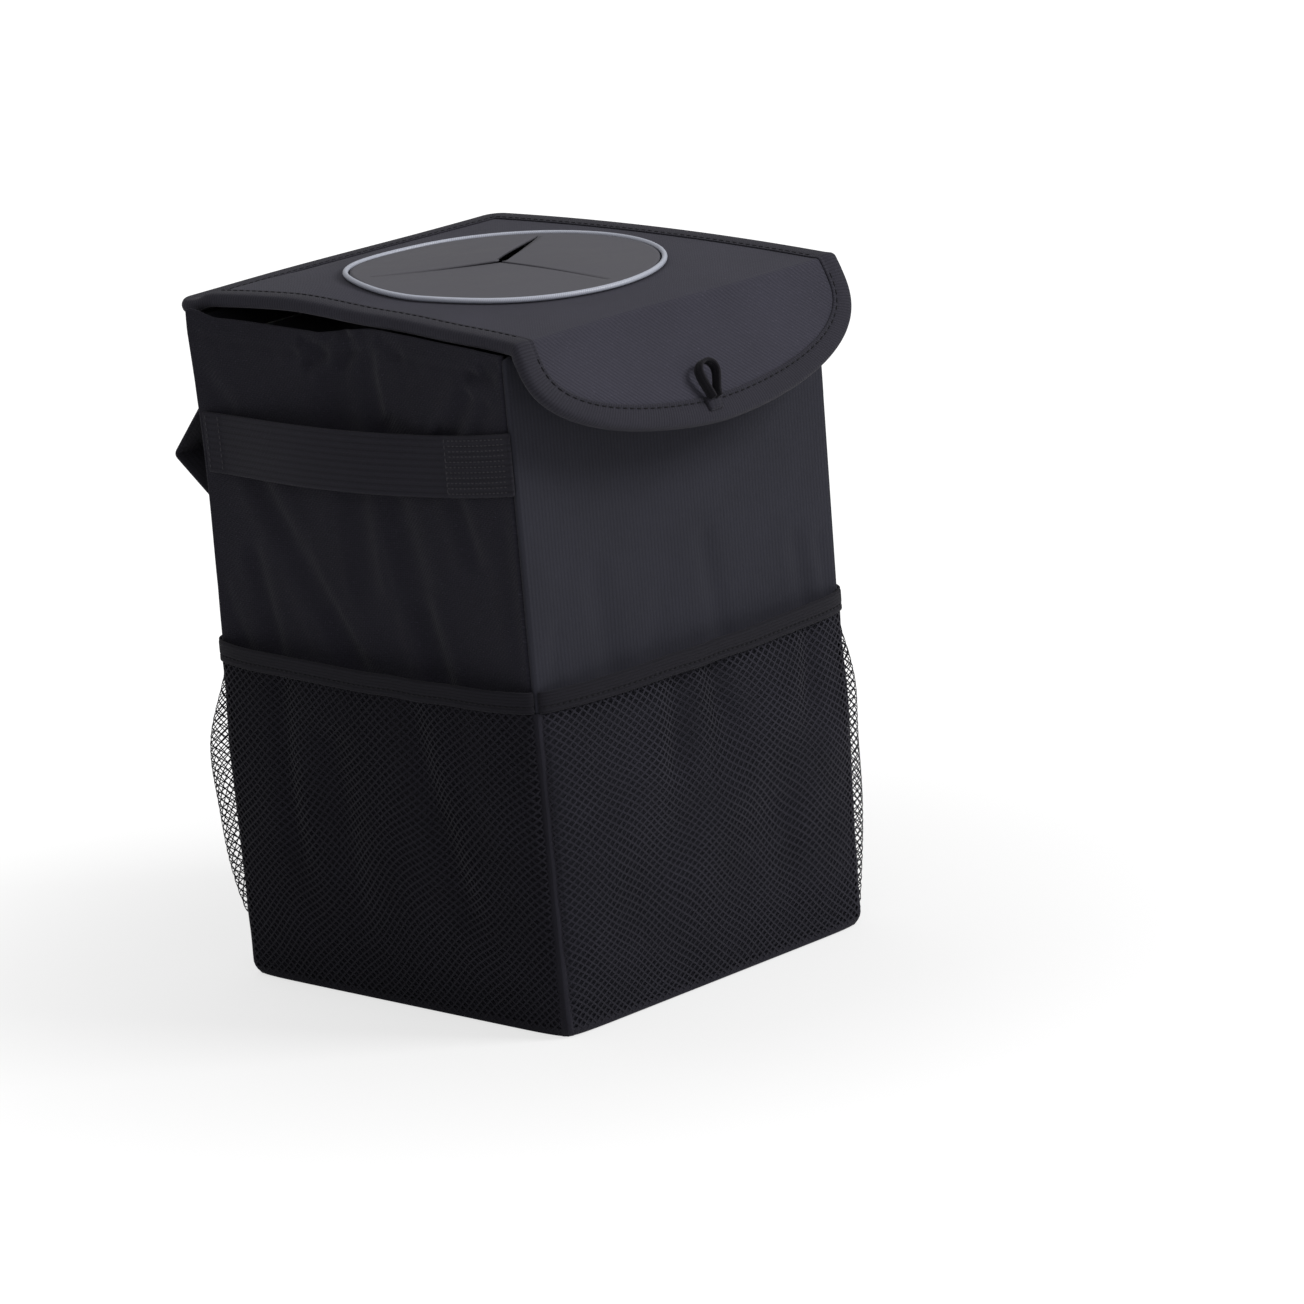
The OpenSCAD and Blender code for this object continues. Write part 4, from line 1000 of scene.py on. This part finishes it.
def outline(inset):
    """Once round lid and flap in the flat pattern at an inset from the edge, from the middle of
    the back: the same number of points whatever the inset. Gives x and s."""
    wide, back = LID_HALF, FOLD_Y - LID_BACK
    keep, small = max(inset, CORNER), max(CORNER - inset, 0.02)
    turn = degrees(90, 0, 9)
    corner_x, corner_s = wide - keep + small * np.cos(turn), back + keep - small * np.sin(turn)
    rear_x = spread(0, wide - keep, 40)[:-1]
    side_s = join(spread(back + keep, -ARC, 90)[1:], spread(-ARC, ARC, 41)[1:],
                  spread(ARC, FLAP_SIDE, 4)[1:])
    side_x = np.interp(side_s, [-ARC, ARC], [LID_HALF, FLAP_HALF]) - inset
    sweep = degrees(0, 90, 90)[1:]
    tip_x = (FLAP_HALF - inset) * np.maximum(np.cos(sweep), 0) ** 1.2
    tip_s = FLAP_SIDE + (FLAP_LONG - FLAP_SIDE - inset) * np.sin(sweep) ** 0.77
    x = join(rear_x, corner_x, side_x, tip_x)
    s = join(0 * rear_x + back + inset, corner_s, side_s, tip_s)
    return join(x, -x[-2::-1]), join(s, s[-2::-1])


# Profile of the tape, from the end of its upper leg over the edge to the end of its lower leg and
# back along the inside: inset from the edge and height above the middle of the stack.
roll = degrees(72, -72, 11)
outer_inset = join([9.05, 8.95, 8.5, 7.9, 7.4, 6.9, 6.0, 4.6, 3.2, 2.2], 1.9 - 2.0 * np.cos(roll),
                   [2.2, 3.2, 4.6, 6.0, 7.5, 8.5, 8.95, 9.05])
outer_rise = join([1.95, 2.25, 2.4, 2.28, 2.15, 2.3, 2.5, 2.6, 2.6, 2.52], 2.5 * np.sin(roll),
                  [-2.4, -2.4, -2.4, -2.4, -2.4, -2.38, -2.2, -1.95])
inner_inset = [8.9, 6.0, 3.0, 0.9, 0.62, 0.62, 0.9, 3.0, 6.0, 8.9, 9.05]
inner_rise = [-1.82, -1.82, -1.82, -1.82, -1.4, 1.4, 1.82, 1.82, 1.82, 1.82, 1.95]
tape_inset, tape_rise = join(outer_inset, inner_inset), join(outer_rise, inner_rise)
tape_x, tape_s = np.stack([outline(inset) for inset in tape_inset], 1)
tape_points = folded(tape_x, tape_s, tape_rise[:, None])
girth = run(at(tape_inset, tape_rise))
tape_uv = at(run(tape_points[10]), girth[:, None])
binding = sew("binding", [(tape_points, tape_uv)], binding_tape)
bend_with_both(binding)
dress(binding, "binding", "lid_binding", "flap_binding")


def edge_stitches(name, mask, body):
    """Stitches in the tape's groove, 7.5 mm in from the edge, over the places of the mask."""
    rows = []
    for r in np.split(np.arange(len(mask)), np.flatnonzero(np.diff(mask.astype(int))) + 1):
        if mask[r[0]] and len(r) > 3:
            line, above = folded(groove_x[r], groove_s[r], 2.17), folded(groove_x[r], groove_s[r], 3.17)
            spots = dots_along(line, 3.1)
            lifted = dots_along(above, 3.1 * run(above)[-1] / run(line)[-1])
            count = min(len(spots), len(lifted))
            rows.append(stitch_row(spots[:count], unit(lifted[:count] - spots[:count]), 2.2, 0.5))
    dress(sew(name, rows, stitch_thread, body), "binding")


groove_x, groove_s = outline(7.5)
edge_stitches("lid_edge_stitches", groove_s < -4, "lid")
edge_stitches("flap_edge_stitches", groove_s > 4, "flap")

# ------------------------------
# Hinge tape. A strip of the binding tape is sewn along the top of the back wall and to the
# underside of the lid's back edge, and is the lid's hinge.
path = np.array([[76.82, 224.1], [76.82, 230.0], [76.82, 236.0], [76.85, 238.9], [76.95, 239.6],
                 [77.2, 240.1], [77.8, 240.35]])
y, z = rounded_path(path, 0.4, 4).T[..., None]
middle = at(spread(-72.2, 72.2, 40), y, z)
hinge_strip = sew("hinge_strip", [slab(lean(middle), 0.28)], binding_tape)
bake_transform(hinge_strip)
dress(hinge_strip, "binding", "lid_hinge_tape")

# ------------------------------
# Membrane. A matt rubbery disc over the hole, cut in three arms from its middle, so that rubbish
# is pushed through and the three petals spring back. The petals' tips stand at unequal heights.
membrane_rubber, tree = new_material("membrane_rubber")
place = wire(tree, "ShaderNodeTexCoord")["Object"]
smears = noise(tree, place, 42, 5)
shade = wire(tree, "ShaderNodeMix", {"Factor": smears, "A": linear(80, 79, 85), "B": linear(92, 91, 98)},
             data_type="RGBA")["Result"]
surface(tree, shade, remap(tree, smears, 0.3, 0.7, 0.5, 0.68), noise(tree, place, 2600, 3), 0.05,
        {"Specular IOR Level": 0.4})

radius = join([0.6], spread(2, 48, 24), spread(49, 54.0, 5))[:, None]
share = spread(0, 1, 41)
inward = limited(1 - radius / 49)
cut_share = np.minimum(np.sqrt(inward) * 1.2, 1)
lifts = (0.45, -0.5, -0.1)     # height of each petal's tip: the back, left and right petal
cuts = ((4.0, 30), (1.0, 150), (0.8, 270))   # how wide each cut gapes, and its direction
petals = []
for number, lift in enumerate(lifts):
    (gap_a, turn_a), (gap_b, _) = cuts[number], cuts[(number + 1) % 3]
    first = np.radians(turn_a) + np.arcsin(np.clip(gap_a / 2 * cut_share / radius, 0, 0.9))
    last = np.radians(turn_a + 120) - np.arcsin(np.clip(gap_b / 2 * cut_share / radius, 0, 0.9))
    turn = first + (last - first) * share
    curl = 0.25 * np.sin(np.pi * share) * bell(radius - 26, 16)
    x, y = radius * np.cos(turn), radius * np.sin(turn) + 2.2 * (1 - radius / 54) ** 2
    z = 245.4 + lid_arch(x, y) + 0.35 * bell(radius, 30) + lift * inward ** 1.3 + curl
    petals.append((at(x, y, z), at(x, y)))
membrane = sew("membrane_disc", petals, membrane_rubber, "lid", weld=0.01)
thicken(membrane, 0.9, 0)
dress(membrane, "membrane", "membrane")

# ------------------------------
# Piping ring. A round cord in pale grey satin is sewn round the membrane, its seam hidden under
# its outer side.
RING, PIPE = 55.6, 0.95        # radius of the ring and of its cord
piping_satin, tree = new_material("piping_satin")
cloth = wire(tree, "ShaderNodeUVMap", uv_map="cloth_mm")[0]
satin = wire(tree, "ShaderNodeGroup", {"Place": cloth, "Pitch": 0.7, "Slant": np.radians(20)},
             node_tree=ribs)[0]
# Painted sheen and painted shade: the satin is drawn lighter on each rib and darker between the ribs.
shade = wire(tree, "ShaderNodeMix", {"Factor": satin, "A": linear(168, 172, 184), "B": linear(198, 202, 216)},
             data_type="RGBA")["Result"]
surface(tree, shade, 0.32, satin, 0.04, {})

turn, ring_turn = np.meshgrid(degrees(0, 360, 17), degrees(0, 360, 241))
reach = RING + PIPE * np.cos(turn)
x, y = reach * np.cos(ring_turn), reach * np.sin(ring_turn)
points = at(x, y, 245.75 + lid_arch(x, y) + PIPE * np.sin(turn))
piping = sew("piping", [(points, at(RING * ring_turn, PIPE * turn))], piping_satin, "lid")
dress(piping, "piping", "piping_ring")

# ------------------------------
# Pull loop. A narrow ribbon folded back on itself stands on its edge on the flap, 13 mm long and
# 9 mm wide. Both ends go under one block of stitches on the binding.
ribbon = dyed_cloth("ribbon", (31, 30, 35), thread=0.5, rib=0.9, slant=QUARTER, rib_share=0.7, depth=0.1,
                    dip_shade=0.6, lint=0.4)
TACK = 36.2                    # place of the tack down the flap


def on_flap(x, down, high):
    """Points at x across the flap, down from the fold and high above its middle plane."""
    return askew(FOLD + x[..., None] * ACROSS + down[..., None] * DOWN + high[..., None] * FACE)


share = spread(0, 1, 90)
turn = np.pi * limited((share - 0.32) / 0.36)
leg = limited(np.minimum(share, 1 - share) / 0.32)
out_x = (1.3 + 2.5 * ease(leg)) * np.cos(turn) - 4.2
rise = 9.6 * leg + 3.6 * np.sin(turn)
path = on_flap(out_x, TACK - rise, 4.9 + 1.6 * ease(rise / 13))
ahead = unit(np.gradient(path, axis=0))
side = unit(np.cross(ahead, FACE))
up = np.cross(side, ahead)
turn = degrees(0, 360, 25)
thin = np.sqrt(limited(1 - (np.clip(abs(share - 0.5) - 0.49, 0, None) / 0.01) ** 2))
flat_x, flat_up = (np.sign(a)[:, None] * abs(a)[:, None] ** 0.5 for a in (np.cos(turn), np.sin(turn)))
tube = path[:, None] + thin[:, None, None] * (side[:, None] * 0.62 * flat_x + up[:, None] * 2.1 * flat_up)
tube_uv = at(run(path)[:, None], 1.6 * turn)
dress(sew("pull_cord", [(tube, tube_uv)], ribbon, "flap"), "webbing", "pull_loop")

s, t = np.meshgrid(spread(-1, 1, 30), spread(-1, 1, 24))
high = 3.7 + 0.9 * (1 - s ** 4) * (1 - t ** 4) - 0.15 * abs(np.sin(t * 9))
block = on_flap(s * 2.5 - 4.0, TACK + 1.2 + t * 1.6, high - 0.9)
dress(sew("pull_tack", [slab(block, 0.9)], binding_tape, "flap"), "webbing")
